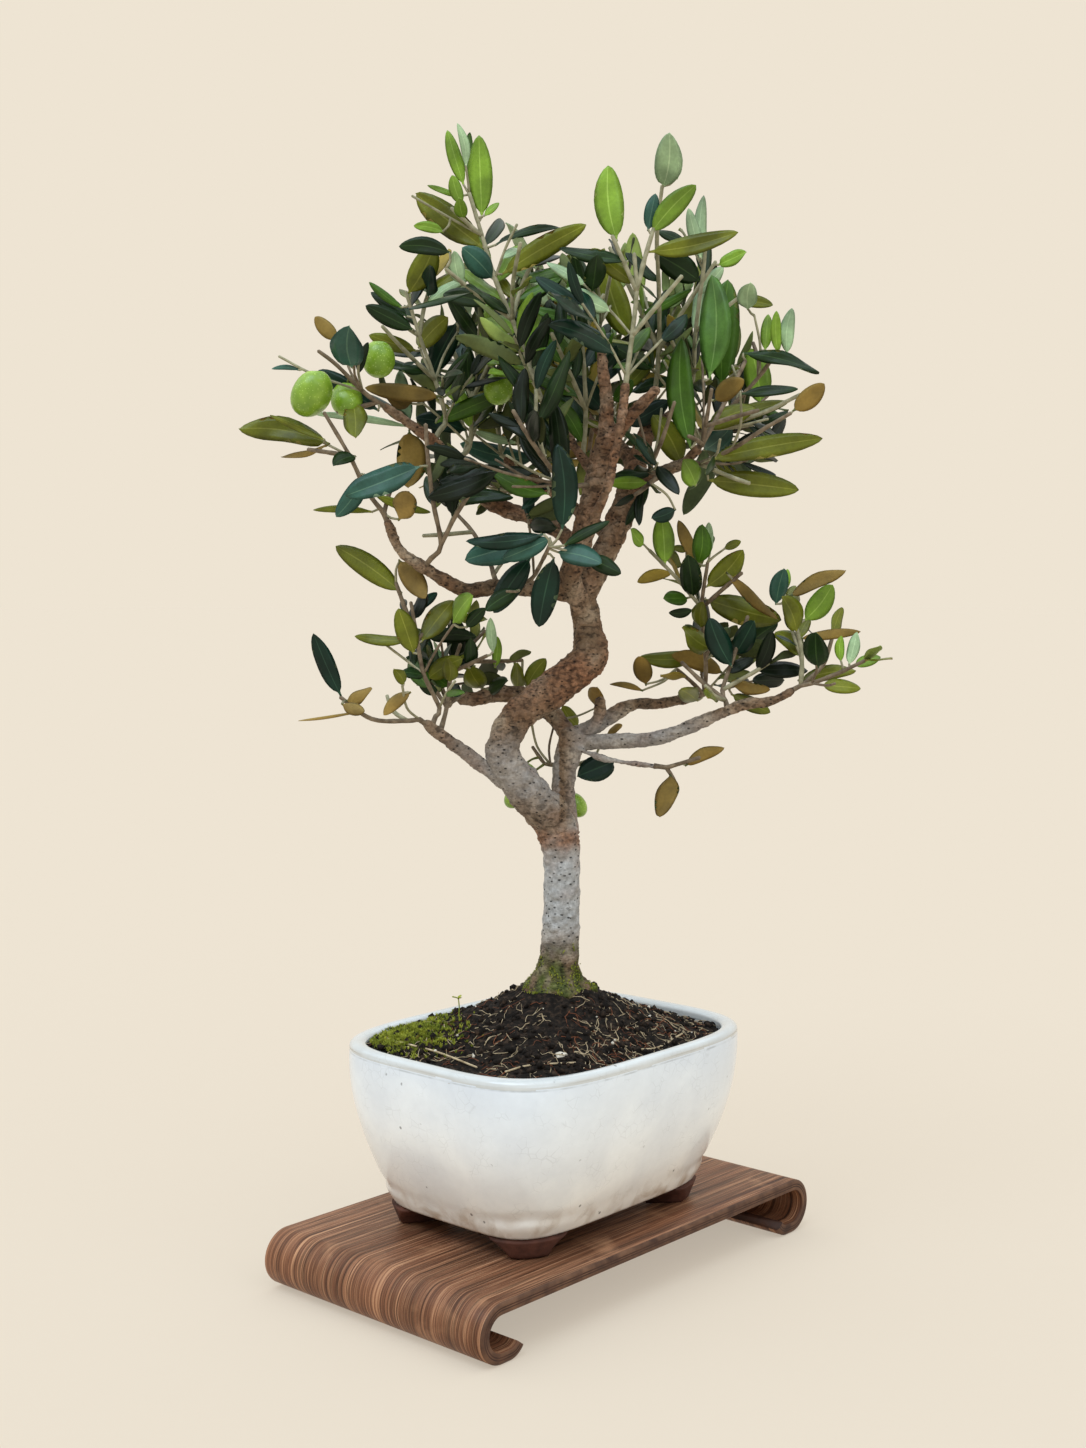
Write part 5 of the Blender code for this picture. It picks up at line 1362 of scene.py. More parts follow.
# What lies on the soil: crumbs, pale grains, a stone, fine roots and moss.
CLOD_ROUGH = 0.55
FOOT_CALM = 26.0
CRUMBS = 1500
CRUMB_SIZES = (0.7, 0.9, 1.1, 1.5, 2.1)
GRAINS = 70
GRAIN_SIZES = (0.35, 0.45, 0.6, 0.8)
STONE_SEEN = (560, 1056)
STONE_SIZE = (3.4, 2.4, 1.6)
FIBRES = 760
FIBRE_REACH = (4, 13)
FIBRE_RADIUS = (0.11, 0.25)
FIBRE_STEPS = 5
FIBRE_TURN = 0.7
PALE_FIBRES = 0.6
LONG_ROOT_RADIUS = 0.48
TUFT_BLADES = 9
PATCH_TUFTS = 1500
TRUNK_TUFTS = 900
MOSS_HIGH = 22
SPROUT_LEAF = (3.2, 1.7, 0.1)

# The mossy heap at the pot's left end, on the stand's axes.
HEAP_AT = (-66.0, 30.0)
HEAP_REACH = 46.0
HEAP_HIGH = 4.5
MOSS_REACH = (20.0, 24.0)
SPROUT_SEEN = (459, 1022)

# Three long pale roots along the pot's front, in the photo's pixels.
LONG_ROOTS = (
    ((379, 1026), (391, 1050), (436, 1060), (477, 1069)),
    ((506, 1075), (530, 1067), (577, 1066)),
    ((636, 1052), (659, 1049), (683, 1037)),
)


def fullness(x, y, half, square):
    """0 in the middle of a superellipse, 1 at its edge and more outside it."""
    return abs(x / half[0]) ** square + abs(y / half[1]) ** square


def oval(centre, half, square, z, count):
    """A ring of points on a superellipse, about evenly spread by angle."""
    ring = []
    for index in range(count):
        angle = 2 * math.pi * index / count
        x, y = math.cos(angle), math.sin(angle)
        reach = fullness(x, y, half, square) ** (-1 / square)
        ring.append((centre[0] + x * reach, centre[1] + y * reach, z))
    return ring


def pot_half(z, inset=0.0):
    """Half the pot's length and width at a height, and how square it is there."""
    share = min(max((z - POT_BASE_Z) / (RIM_Z - RIM_ROUND - POT_BASE_Z), 0.0), 1.0)
    swell = math.sin(share * math.pi / 2)
    half = [base + (rim - base) * swell - inset for base, rim in zip(BASE_HALF, RIM_HALF)]
    return half, BASE_SQUARE + (RIM_SQUARE - BASE_SQUARE) * share


def cornerness(angle):
    """1 towards the pot's corners, 0 towards its sides."""
    half, _ = pot_half(POT_BASE_Z)
    corner = math.atan2(half[1], half[0])
    fold = abs(math.atan2(abs(math.sin(angle)), abs(math.cos(angle))) - corner)
    return max(0.0, 1 - fold / CORNER_ARC) ** 1.5


def pot_side_ring(z):
    """The pot's outline at a height of its side, with the crease and the bulge above the base."""
    half, square = pot_half(z)
    ring = []
    for index, (x, y, _) in enumerate(oval(POT_CENTRE, half, square, z, POT_POINTS)):
        corner = cornerness(2 * math.pi * index / POT_POINTS)
        crease = bump(z - POT_BASE_Z, GROOVE_Z[0] + 4.0 * corner, GROOVE_Z[1])
        bulge = bump(z - POT_BASE_Z, BULGE_Z[0] + 2 * corner, BULGE_Z[1]) * (0.1 + 0.9 * corner)
        wander = POT_WANDER * noise.noise(Vector((x * 0.04, y * 0.04, z * 0.05)))
        push = (bulge - GROOVE_DEPTH * crease * (0.3 + 0.9 * corner) + wander) / math.hypot(*half)
        ring.append((POT_CENTRE[0] + (x - POT_CENTRE[0]) * (1 + push),
                     POT_CENTRE[1] + (y - POT_CENTRE[1]) * (1 + push), z))
    return ring


def pot_rows():
    """The pot's rings from the base's middle over the rim to the floor inside, with their stuff."""
    low = RIM_Z - RIM_ROUND
    rows = []
    for share in (0.0, 0.25, 0.6):
        half, square = pot_half(POT_BASE_Z, BASE_ROUND[0] * (1 - share) ** 2)
        rows.append((oval(POT_CENTRE, half, square, POT_BASE_Z + BASE_ROUND[1] * share, POT_POINTS), 0))
    start = POT_BASE_Z + BASE_ROUND[1]
    fine_to = POT_BASE_Z + FINE_SIDE
    levels = np.concatenate([np.arange(start, fine_to, 0.8), np.arange(fine_to, low - 5, 2.4),
                             np.arange(low - 5, low, 0.55)])
    rows += [(pot_side_ring(z), 0) for z in levels]
    half, square = pot_half(low)
    for step in range(LIP_STEPS + 1):
        angle = math.pi * step / LIP_STEPS
        lip = [size - WALL / 2 * (1 - math.cos(angle)) for size in half]
        rows.append((oval(POT_CENTRE, lip, square, low + RIM_ROUND * math.sin(angle), POT_POINTS), 1))
    for z in (low - 2, low - 4, low - 8, low - 14, low - 30, POT_BASE_Z + POT_FLOOR):
        half, square = pot_half(z, WALL)
        rows.append((oval(POT_CENTRE, half, square, z, POT_POINTS), 1 if z > low - 9 else 2))
    return rows


def make_pot(glaze, rim_glaze, bare):
    """The glazed bowl: its side with the crease above the base, its rounded rim and its inside."""
    rows = pot_rows()
    faces = loft_faces(len(rows), POT_POINTS)
    slots = []
    for index in range(len(faces) - 2):
        row, place = divmod(index, POT_POINTS)
        angle = 2 * math.pi * place / POT_POINTS
        wave = 1.1 * noise.noise(Vector((3 * math.cos(angle), 3 * math.sin(angle), 2)))
        over = rows[row][0][place][2] > RIM_Z - RIM_ROUND - SPILL - wave
        slot = rows[row + 1][1]
        slots.append(1 if slot == 0 and over else slot)
    pile = Pile()
    pile.add(([point for ring, _ in rows for point in ring], faces), slots + [2, 2], False)
    show("glazed_pot", pile.mesh("glazed_pot"), [glaze, rim_glaze, bare], ["pot"])


def mound_outline(share):
    """The mound's outline at a share of the way in from the pot's wall: middle, half sizes and shape."""
    half, square = pot_half(SOIL_EDGE_Z, WALL + GAP)
    size = [a + (SOIL_SEAT - a) * share for a in half]
    centre = [a + (b - a) * share for a, b in zip(POT_CENTRE, TREE_FOOT)]
    return centre, size, square + (2 - square) * share


def mound_point(share, angle):
    """A point of the soil's top: share 0 at the pot's wall, 1 at the trunk's foot."""
    centre, size, square = mound_outline(share)
    x, y = math.cos(angle), math.sin(angle)
    reach = fullness(x, y, size, square) ** (-1 / square)
    z = SOIL_EDGE_Z + (SOIL_TOP_Z - SOIL_EDGE_Z) * share ** MOUND_POWER
    return np.array((centre[0] + x * reach, centre[1] + y * reach, z))


def soil_height(x, y):
    """The height of the soil's smooth top over a place on the stand's axes."""
    low, high = 0.0, 1.0
    for _ in range(14):
        share = (low + high) / 2
        centre, size, square = mound_outline(share)
        out = fullness(x - centre[0], y - centre[1], size, square)
        low, high = (low, share) if out > 1 else (share, high)
    return SOIL_EDGE_Z + (SOIL_TOP_Z - SOIL_EDGE_Z) * low ** MOUND_POWER


def soil_rough(x, y):
    """How far the soil's top stands above the smooth mound."""
    place = Vector((x, y, 0))
    near = 1 - 0.8 * bump(math.dist((x, y), TREE_FOOT), 0.0, FOOT_CALM)
    heap = HEAP_HIGH * bump(math.dist((x, y), HEAP_AT), 0.0, HEAP_REACH)
    rough = noise.noise(place * 0.3) * 1.3 + noise.noise(place * 0.9) * 0.9
    return near * (rough + abs(noise.noise(place * 0.12)) * 1.6 + 0.3) + heap


def clod_shape(centre, size, seed, fine=1):
    """A lump of earth or stone: a ball with an uneven skin."""
    shape = bmesh.new()
    bmesh.ops.create_icosphere(shape, subdivisions=fine, radius=1.0)
    points = []
    for vertex in shape.verts:
        grow = 1 + CLOD_ROUGH * noise.noise(vertex.co * 1.3 + Vector((seed, 0, 0)))
        points.append(np.array(centre) + np.array(vertex.co) * grow * np.array(size))
    faces = [tuple(vertex.index for vertex in face.verts) for face in shape.faces]
    shape.free()
    return points, faces


def scattered(chance, spread):
    """A place on the mound, without the part of it nearest to the trunk's foot."""
    share = 1 - math.sqrt(chance.uniform(0.0, spread))
    return mound_point(share, chance.uniform(0, 2 * math.pi))


def make_ground(earth, chance):
    """The soil's mound with its crumbs."""
    rows = []
    floor = POT_BASE_Z + POT_FLOOR + GAP
    for z in (floor, floor + 30, SOIL_EDGE_Z - 3):
        half, square = pot_half(z, WALL + GAP)
        rows.append(oval(POT_CENTRE, half, square, z, SOIL_POINTS))
    for step in range(SOIL_RINGS + 1):
        ring = []
        for index in range(SOIL_POINTS):
            x, y, z = mound_point(step / SOIL_RINGS, 2 * math.pi * index / SOIL_POINTS)
            ring.append((x, y, z + soil_rough(x, y) * min(1.0, step / 2)))
        rows.append(ring)
    pile = Pile()
    pile.add(([point for ring in rows for point in ring], loft_faces(len(rows), SOIL_POINTS)), 0, False)
    for number in range(CRUMBS):
        place = scattered(chance, 0.985)
        size = chance.choice(CRUMB_SIZES)
        place[2] += soil_rough(*place[:2]) + chance.uniform(-0.5, 0.3) * size
        crumb = [size * chance.uniform(0.7, 1.2) for _ in range(3)]
        pile.add(clod_shape(place, crumb, number * 1.7), 0, False)
    show("soil_mound", pile.mesh("soil_mound"), [earth], ["soil"])


def make_grit(stone, chance):
    """The pale grains on the soil, and the stone that lies in front."""
    pile = Pile()
    for number in range(GRAINS):
        place = scattered(chance, 0.97)
        size = chance.choice(GRAIN_SIZES)
        place[2] += soil_rough(*place[:2]) + 0.8 * size
        pile.add(clod_shape(place, [size] * 3, number * 2.3), 0, False)
    pile.add(clod_shape(seen_on_mound(*STONE_SEEN), STONE_SIZE, 4.0, 3), 0, False)
    show("grit", pile.mesh("grit"), [stone], [])


def make_roots(stuffs, chance):
    """The fine roots on the soil, and the long ones along the pot's front."""
    pile = Pile()
    for _ in range(FIBRES):
        angle = chance.uniform(0, 2 * math.pi)
        share = 1 - math.sqrt(chance.uniform(0.0, 0.95))
        reach = chance.uniform(*FIBRE_REACH)
        fibre = root_fibre(share, angle, chance, reach, chance.uniform(*FIBRE_RADIUS))
        pile.add(fibre, 0 if chance.random() < PALE_FIBRES else 1, False)
    for route in LONG_ROOTS:
        stations = []
        for u, v in route:
            x, y, z = seen_on_mound(u, v)
            stations.append((x, y, z + soil_rough(x, y) + 0.9, LONG_ROOT_RADIUS))
        pile.add(tube_shape(smooth(stations, 1.5), 6), 0, False)
    show("root_fibres", pile.mesh("root_fibres"), stuffs, [])


def make_soil(earth, stone, roots, moss):
    """The soil with its crumbs, grit and roots, and the moss."""
    chance = random.Random(31)
    make_ground(earth, chance)
    make_grit(stone, chance)
    make_roots(roots, chance)
    make_moss(moss, chance)


def mound_grid():
    """Points of the soil's top on the stand's axes, and where the photo shows them."""
    points = np.array([mound_point(share, angle) for share in np.linspace(0.0, 1.0, 51)
                       for angle in np.linspace(0, 2 * math.pi, 241)[:-1]])
    offset = points[:, :2] - TREE_FOOT
    turn = math.radians(TREE_TURN)
    across = offset[:, 0] * math.cos(turn) + offset[:, 1] * math.sin(turn)
    deep = offset[:, 1] * math.cos(turn) - offset[:, 0] * math.sin(turn)
    return points, photo_place(np.column_stack([across, deep, points[:, 2]]))


def seen_on_mound(u, v):
    """The place of the soil's top, on the stand's axes, that the photo shows at a pixel."""
    points, places = MOUND
    return points[int(np.argmin(np.linalg.norm(places - (u, v), axis=1)))]


def root_fibre(share, angle, chance, reach, radius):
    """A fine root that wanders over the soil."""
    heading = chance.uniform(0, 2 * math.pi)
    place = mound_point(share, angle)[:2]
    stations = []
    for step in range(FIBRE_STEPS + 1):
        high = soil_height(*place) + soil_rough(*place) + radius * chance.uniform(0.5, 4.0)
        stations.append((place[0], place[1], high, radius * (1 - step / 9)))
        heading += chance.uniform(-FIBRE_TURN, FIBRE_TURN)
        place = place + np.array((math.cos(heading), math.sin(heading))) * reach / FIBRE_STEPS
    return tube_shape(smooth(stations, 1.5), 5)


def tuft_shape(place, size, chance):
    """A small tuft of moss: short pointed blades that stand out of one place."""
    points = []
    faces = []
    for _ in range(TUFT_BLADES):
        turn = chance.uniform(0, 2 * math.pi)
        lean = chance.uniform(0.1, 1.0)
        out = np.array((math.cos(turn), math.sin(turn), 0.0))
        tip = np.array((math.cos(turn) * lean, math.sin(turn) * lean, 1.0)) * size * chance.uniform(0.6, 1.1)
        across = np.array((-math.sin(turn), math.cos(turn), 0.0)) * size * 0.16
        first = len(points)
        points += [place + across, place - across, place + out * size * 0.1, place + tip]
        faces += [(first, first + 1, first + 3), (first + 1, first + 2, first + 3),
                  (first + 2, first, first + 3), (first + 2, first + 1, first)]
    return points, faces


def add_sprout(pile, chance):
    """A thin sprout with three small leaves, where the photo shows one."""
    x, y, z = seen_on_mound(*SPROUT_SEEN)
    z += soil_rough(x, y)
    stem = smooth([(x, y, z - 1, 0.35), (x + 0.4, y, z + 4, 0.3), (x + 0.2, y + 0.3, z + 8.5, 0.25)], 1.0)
    pile.add(tube_shape(stem, 6), 0, False)
    for turn in (0.4, 2.5, 4.4):
        out = np.array((math.cos(turn), math.sin(turn), 0.4))
        side = np.array((-math.sin(turn), math.cos(turn), 0.0))
        leaf = Leaf(stem[-1, :3], unit(out), side, np.array((0.0, 0.0, 1.0)), *SPROUT_LEAF)
        points, faces, _ = leaf_shape(leaf, False, chance)
        pile.add((points, faces), 0, False)


def add_patch(pile, chance):
    """The moss at the pot's left end."""
    half, square = pot_half(SOIL_EDGE_Z, WALL + 1.5)
    for _ in range(PATCH_TUFTS):
        x = HEAP_AT[0] + chance.gauss(0, MOSS_REACH[0] / 2)
        y = HEAP_AT[1] + chance.gauss(0, MOSS_REACH[1] / 2)
        if fullness(x - POT_CENTRE[0], y - POT_CENTRE[1], half, square) <= 1:
            place = np.array((x, y, soil_height(x, y) + soil_rough(x, y) + 0.2))
            pile.add(tuft_shape(place, chance.uniform(1.0, 2.2), chance), 0, False)


def add_trunk_moss(pile, chance):
    """The moss on the trunk's foot, thinner higher up."""
    trunk = bough_line("trunk")
    for _ in range(TRUNK_TUFTS):
        angle = chance.uniform(0, 2 * math.pi)
        z = SOIL_TOP_Z + MOSS_HIGH * chance.random() ** 1.5
        thin = 0.55 * (z - SOIL_TOP_Z) / MOSS_HIGH - 0.2
        if noise.noise(Vector((2 * math.cos(angle), 2 * math.sin(angle), z * 0.12))) >= thin:
            x, y, radius = [np.interp(z, trunk[:, 2], trunk[:, axis]) for axis in (0, 1, 3)]
            reach = radius * flare_growth(z, angle) + 0.15
            place = np.array((x + math.cos(angle) * reach, y + math.sin(angle) * reach, z))
            pile.add(tuft_shape(place, chance.uniform(0.6, 1.3), chance))


def make_moss(moss, chance):
    """Moss on the root flare and in a patch on the soil, and a sprout that stands in it."""
    pile = Pile()
    add_sprout(pile, chance)
    add_patch(pile, chance)
    add_trunk_moss(pile, chance)
    show("moss", pile.mesh("moss", False), [moss], [])


def make_feet(clay):
    """Four bracket feet under the pot's corners, of rough clay."""
    half, square = pot_half(POT_BASE_Z)
    diagonal = math.degrees(math.atan2(half[1], half[0]))
    turns = {"foot_right_back": diagonal, "foot_left_back": 180 - diagonal,
             "foot_left_front": 180 + diagonal, "foot_right_front": -diagonal}
    for name, turn in turns.items():
        rows = []
        for row in range(FOOT_ROWS):
            share = row / (FOOT_ROWS - 1)
            z = STAND_HEIGHT + GAP + (POT_BASE_Z - STAND_HEIGHT - GAP) * share
            span = FOOT_SPAN_BOTTOM + (FOOT_SPAN_TOP - FOOT_SPAN_BOTTOM) * share ** FOOT_FLARE
            outer = FOOT_PROUD - FOOT_LEAN * (1 - share) - FOOT_WORN * (row == 0)
            rows.append(foot_ring(half, square, turn, span, outer, z))
        pile = Pile()
        points = [point for ring in rows for point in ring]
        pile.add((points, loft_faces(len(rows), len(rows[0]))), 0, False)
        show("clay_" + name, pile.mesh("clay_" + name), [clay], [name])


def foot_ring(half, square, turn, span, outer, z):
    """A foot's outline at a height: out along the pot's corner, round its ends and back inside it."""
    ring = []
    for index in range(FOOT_STEPS + 1):
        share = index / FOOT_STEPS
        end = min(share, 1 - share)
        ease = math.sqrt(max(0.0, 1 - (1 - end / FOOT_END) ** 2)) if end < FOOT_END else 1.0
        grow = outer - FOOT_END_IN * (1 - min(1.0, ease))
        ring.append(foot_point(half, square, turn + span * (share - 0.5), grow, z))
    for index in range(FOOT_STEPS + 1):
        share = 1 - index / FOOT_STEPS
        ring.append(foot_point(half, square, turn + span * (share - 0.5), -FOOT_DEPTH, z))
    return ring


def foot_point(half, square, angle, grow, z):
    """A point of the foot's outline, grown out from the pot's own."""
    x, y = math.cos(math.radians(angle)), math.sin(math.radians(angle))
    reach = fullness(x, y, (half[0] + grow, half[1] + grow), square) ** (-1 / square)
    rough = CLAY_ROUGH * noise.noise(Vector((x * reach * 0.4, y * reach * 0.4, z * 0.6)))
    return POT_CENTRE[0] + x * (reach + rough), POT_CENTRE[1] + y * (reach + rough), z


# The stand's sheet: its layers at the edge, and how round its edges are.
PLY_LAYERS = 7
EDGE_ROUND = 0.8
ACROSS_STEPS = 12
FLAT_STEPS = 12
BEND_STEPS = 28
CURL_STEPS = 12


def stand_stations():
    """The middle line of the stand's sheet in X and Z with its normals, from lip to lip."""
    radius = (STAND_HEIGHT - PLY) / 2
    bend_x = (STAND_LENGTH - PLY) / 2 - radius
    half = [(x, STAND_HEIGHT - PLY / 2) for x in np.linspace(0, bend_x, FLAT_STEPS + 1)[:-1]]
    for step in range(BEND_STEPS + 1):
        angle = math.pi / 2 - math.pi * step / BEND_STEPS
        half.append((bend_x + radius * math.cos(angle), STAND_HEIGHT / 2 + radius * math.sin(angle)))
    flat_x = bend_x - CURL_FLAT
    half.append((bend_x - CURL_FLAT / 2, PLY / 2))
    for step in range(CURL_STEPS + 1):
        angle = math.radians(CURL_ANGLE * step / CURL_STEPS)
        half.append((flat_x - CURL_RADIUS * math.sin(angle), PLY / 2 + CURL_RADIUS * (1 - math.cos(angle))))
    path = np.array([(-x, z) for x, z in half[:0:-1]] + half)
    runs = np.gradient(path, axis=0)
    runs /= np.linalg.norm(runs, axis=1)[:, None]
    return path, np.column_stack([-runs[:, 1], runs[:, 0]])


def make_stand(walnut, light_ply, dark_ply):
    """The bent ply sheet with its rounded edges and the layers that show along its sides."""
    path, normals = stand_stations()
    ring, slots = sheet_section()
    points = []
    for (x, z), (nx, nz) in zip(path, normals):
        points += [(x + nx * h, y, z + nz * h) for y, h in ring]
    pile = Pile()
    pile.add((points, loft_faces(len(path), len(ring))), slots * (len(path) - 1) + [2, 2], False)
    mesh = pile.mesh("walnut_stand")
    shape = bmesh.new()
    shape.from_mesh(mesh)
    bmesh.ops.recalc_face_normals(shape, faces=shape.faces)
    shape.to_mesh(mesh)
    shape.free()
    show("walnut_stand", mesh, [walnut, light_ply, dark_ply], ["stand"])


def sheet_section():
    """The sheet's cut across its length: (across, out of the sheet) and the layer of each edge face."""
    wide, thick = STAND_WIDTH / 2, PLY / 2
    corner = [(EDGE_ROUND * math.sin(a), EDGE_ROUND * math.cos(a)) for a in np.linspace(0, math.pi / 2, 4)]
    top = [(y, thick) for y in np.linspace(-wide + EDGE_ROUND, wide - EDGE_ROUND, ACROSS_STEPS)]
    down = [(wide - EDGE_ROUND + a, thick - EDGE_ROUND + b) for a, b in corner[1:]]
    inner = thick - EDGE_ROUND
    side = [(wide, h) for h in np.linspace(inner, -inner, PLY_LAYERS + 1)[1:-1]]
    half = top + down + side
    slots = [0] * (len(top) + 1) + [1, 1] + [2 if index % 2 else 1 for index in range(len(side))]
    ring = half + [(-y, -h) for y, h in half]
    slots = (slots[:len(half) - 1] + [1]) * 2
    return ring, slots


def plain(colour):
    """A colour of 0 to 255 per channel as linear light."""
    shares = [part / 255 for part in colour]
    light = [part / 12.92 if part <= 0.04045 else ((part + 0.055) / 1.055) ** 2.4 for part in shares]
    return tuple(light) + (1.0,)


class Finish:
    """A Principled material that is built up from procedural nodes."""

    def __init__(self, name, roughness, specular=0.5):
        self.material = bpy.data.materials.new(name)
        self.material.use_nodes = True
        self.nodes = self.material.node_tree.nodes
        self.links = self.material.node_tree.links
        self.shader = self.nodes["Principled BSDF"]
        self.shader.inputs["Roughness"].default_value = roughness
        self.shader.inputs["Specular IOR Level"].default_value = specular
        self.place = self.nodes.new("ShaderNodeTexCoord").outputs["Object"]
        self.bumps = None

    def stretched(self, scale):
        """The place, stretched along the axes."""
        node = self.nodes.new("ShaderNodeMapping")
        node.inputs["Scale"].default_value = scale
        self.links.new(self.place, node.inputs["Vector"])
        return node.outputs["Vector"]

    def cloud(self, scale, detail=3.0, warp=0.0, place=None, rough=0.5):
        """Noise whose grains are about 1000 / scale millimetres."""
        node = self.nodes.new("ShaderNodeTexNoise")
        node.inputs["Scale"].default_value = scale
        node.inputs["Detail"].default_value = detail
        node.inputs["Roughness"].default_value = rough
        node.inputs["Distortion"].default_value = warp
        self.links.new(place or self.place, node.inputs["Vector"])
        return node.outputs["Fac"]

    def cells(self, scale, feature="F1", place=None):
        """The distance to the nearest of scattered points or to the border between them."""
        node = self.nodes.new("ShaderNodeTexVoronoi")
        node.feature = feature
        node.inputs["Scale"].default_value = scale
        self.links.new(place or self.place, node.inputs["Vector"])
        return node.outputs["Distance"]

    def height(self, low, high):
        """The share of the way up from a low to a high Z in millimetres."""
        parts = self.nodes.new("ShaderNodeSeparateXYZ")
        self.links.new(self.place, parts.inputs["Vector"])
        node = self.nodes.new("ShaderNodeMapRange")
        node.inputs["From Min"].default_value = low * MM
        node.inputs["From Max"].default_value = high * MM
        self.links.new(parts.outputs["Z"], node.inputs["Value"])
        return node.outputs["Result"]

    def ramp(self, value, shares, tones):
        """The value dealt out: each tone, a colour or a level of grey, stands at its share."""
        node = self.nodes.new("ShaderNodeValToRGB")
        band = node.color_ramp
        while len(band.elements) < len(tones):
            band.elements.new(0.5)
        for element, share, tone in zip(band.elements, shares, tones):
            element.position = share
            element.color = plain(tone) if isinstance(tone, tuple) else (tone, tone, tone, 1.0)
        self.links.new(value, node.inputs["Fac"])
        return node.outputs["Color"]

    def mix(self, share, first, second, blend="MIX"):
        """Two colours mixed by a share, which may be a number or a socket."""
        node = self.nodes.new("ShaderNodeMix")
        node.data_type = "RGBA"
        node.blend_type = blend
        for name, value in (("Factor", share), ("A", first), ("B", second)):
            self.put(node.inputs[name], value)
        return node.outputs["Result"]

    def put(self, socket, value):
        """Give a socket a link, a number or a colour."""
        if isinstance(value, bpy.types.NodeSocket):
            self.links.new(value, socket)
        elif isinstance(value, tuple):
            socket.default_value = plain(value)
        else:
            socket.default_value = value

    def colour(self, value):
        """The base colour."""
        self.links.new(value, self.shader.inputs["Base Color"])

    def zone(self, channel):
        """One of the colour shares that the mesh carries."""
        node = self.nodes.new("ShaderNodeAttribute")
        node.attribute_name = "zones"
        parts = self.nodes.new("ShaderNodeSeparateColor")
        self.links.new(node.outputs["Color"], parts.inputs["Color"])
        return parts.outputs[channel]

    def raise_by(self, value, depth, strength=1.0):
        """Relief of a depth in millimetres on top of the relief that is there."""
        node = self.nodes.new("ShaderNodeBump")
        node.inputs["Strength"].default_value = strength
        node.inputs["Distance"].default_value = depth * MM
        self.links.new(value, node.inputs["Height"])
        if self.bumps is not None:
            self.links.new(self.bumps, node.inputs["Normal"])
        self.bumps = node.outputs["Normal"]
        self.links.new(self.bumps, self.shader.inputs["Normal"])


# Colours in 0 to 255 per channel, from dark to light.
BARK_BROWN = ((92, 74, 56), (134, 112, 90), (180, 162, 140))
BARK_GREY = ((148, 149, 150), (186, 188, 190))
BARK_RUST = ((92, 60, 43), (174, 126, 94))
BARK_MOSS = ((52, 54, 26), (88, 98, 44), (128, 130, 84))
OLIVE_TONES = ((104, 142, 34), (142, 178, 58))
OLIVE_SPECKS = ((200, 214, 132), (200, 214, 132), (0, 0, 0))
SOIL_TONES = ((14, 11, 9), (30, 24, 20), (72, 57, 46))
CALM_GREY = (188, 188, 188)
GLAZE_STAIN = (168, 148, 126)
# A bluish tint near the pot's top that paints the sky's reflection.
PAINTED_SKY_TINT = (241, 245, 250)
WALNUT_TONES = ((56, 34, 26), (126, 82, 58), (200, 152, 116))
TWIG_TONES = {
    "young_twig": ((128, 126, 98), (178, 174, 146)),
    "old_twig": ((90, 76, 60), (146, 130, 108)),
    "fruit_stalk": ((96, 104, 52), (134, 140, 76)),
}

# Glazes: the darker and the lighter colour, the warm tint at the pot's base that paints bounce light there,
# and the roughness.
GLAZES = {
    "pot_glaze": ((224, 231, 240), (240, 246, 252), (250, 240, 228), 0.26),
    "rim_glaze": ((202, 203, 201), (220, 221, 219), (255, 255, 255), 0.2),
}

# Plain stuffs: the darker and the lighter colour, the scale of the grain, the roughness and the relief.
STUFFS = {
    "white_grit": ((176, 168, 154), (226, 220, 208), 260.0, 0.7, 0.3),
    "pale_root": ((138, 118, 88), (208, 190, 158), 300.0, 0.8, 0.15),
    "red_root": ((84, 44, 28), (130, 78, 50), 300.0, 0.8, 0.15),
    "moss_green": ((88, 104, 26), (176, 180, 66), 180.0, 0.85, 0.1),
    "bare_clay": ((128, 104, 84), (158, 132, 108), 90.0, 0.85, 0.3),
    "red_clay": ((58, 34, 28), (96, 58, 46), 120.0, 0.8, 0.5),
    "ply_light": ((56, 34, 26), (112, 80, 60), 110.0, 0.6, 0.15),
    "ply_dark": ((42, 24, 18), (72, 42, 30), 160.0, 0.6, 0.15),
}


def shade_of(colour, factor):
    """The colour made lighter or darker."""
    return tuple(min(255.0, part * factor) for part in colour)


def leaf_finish(name, colour, roughness, specular):
    """Leaf skin: mottled in its own colour, with a fine grain."""
    made = Finish(name, roughness, specular)
    broad = made.ramp(made.cloud(55.0, 2.0), (0.32, 0.68), (shade_of(colour, 0.8), shade_of(colour, 1.18)))
    fine = made.ramp(made.cloud(700.0, 2.0), (0.35, 0.65), (0.72, 1.0))
    made.colour(made.mix(0.45, broad, fine, "MULTIPLY"))
    made.raise_by(made.cloud(1300.0, 2.0), 0.1, 0.5)
    return made.material


def leaf_finishes():
    """Upper side, underside and midrib for every tone."""
    made = []
    for tone, (upper, under, rib) in TONES.items():
        rib = tuple(a + (b - a) * RIB_TONE for a, b in zip(upper, rib))
        made.append(leaf_finish("leaf_" + tone, shade_of(upper, 0.92), 0.32, 0.22))
        made.append(leaf_finish("leaf_" + tone + "_under", under, 0.66, 0.2))
        made.append(leaf_finish("leaf_" + tone + "_rib", rib, 0.5, 0.3))
    return made


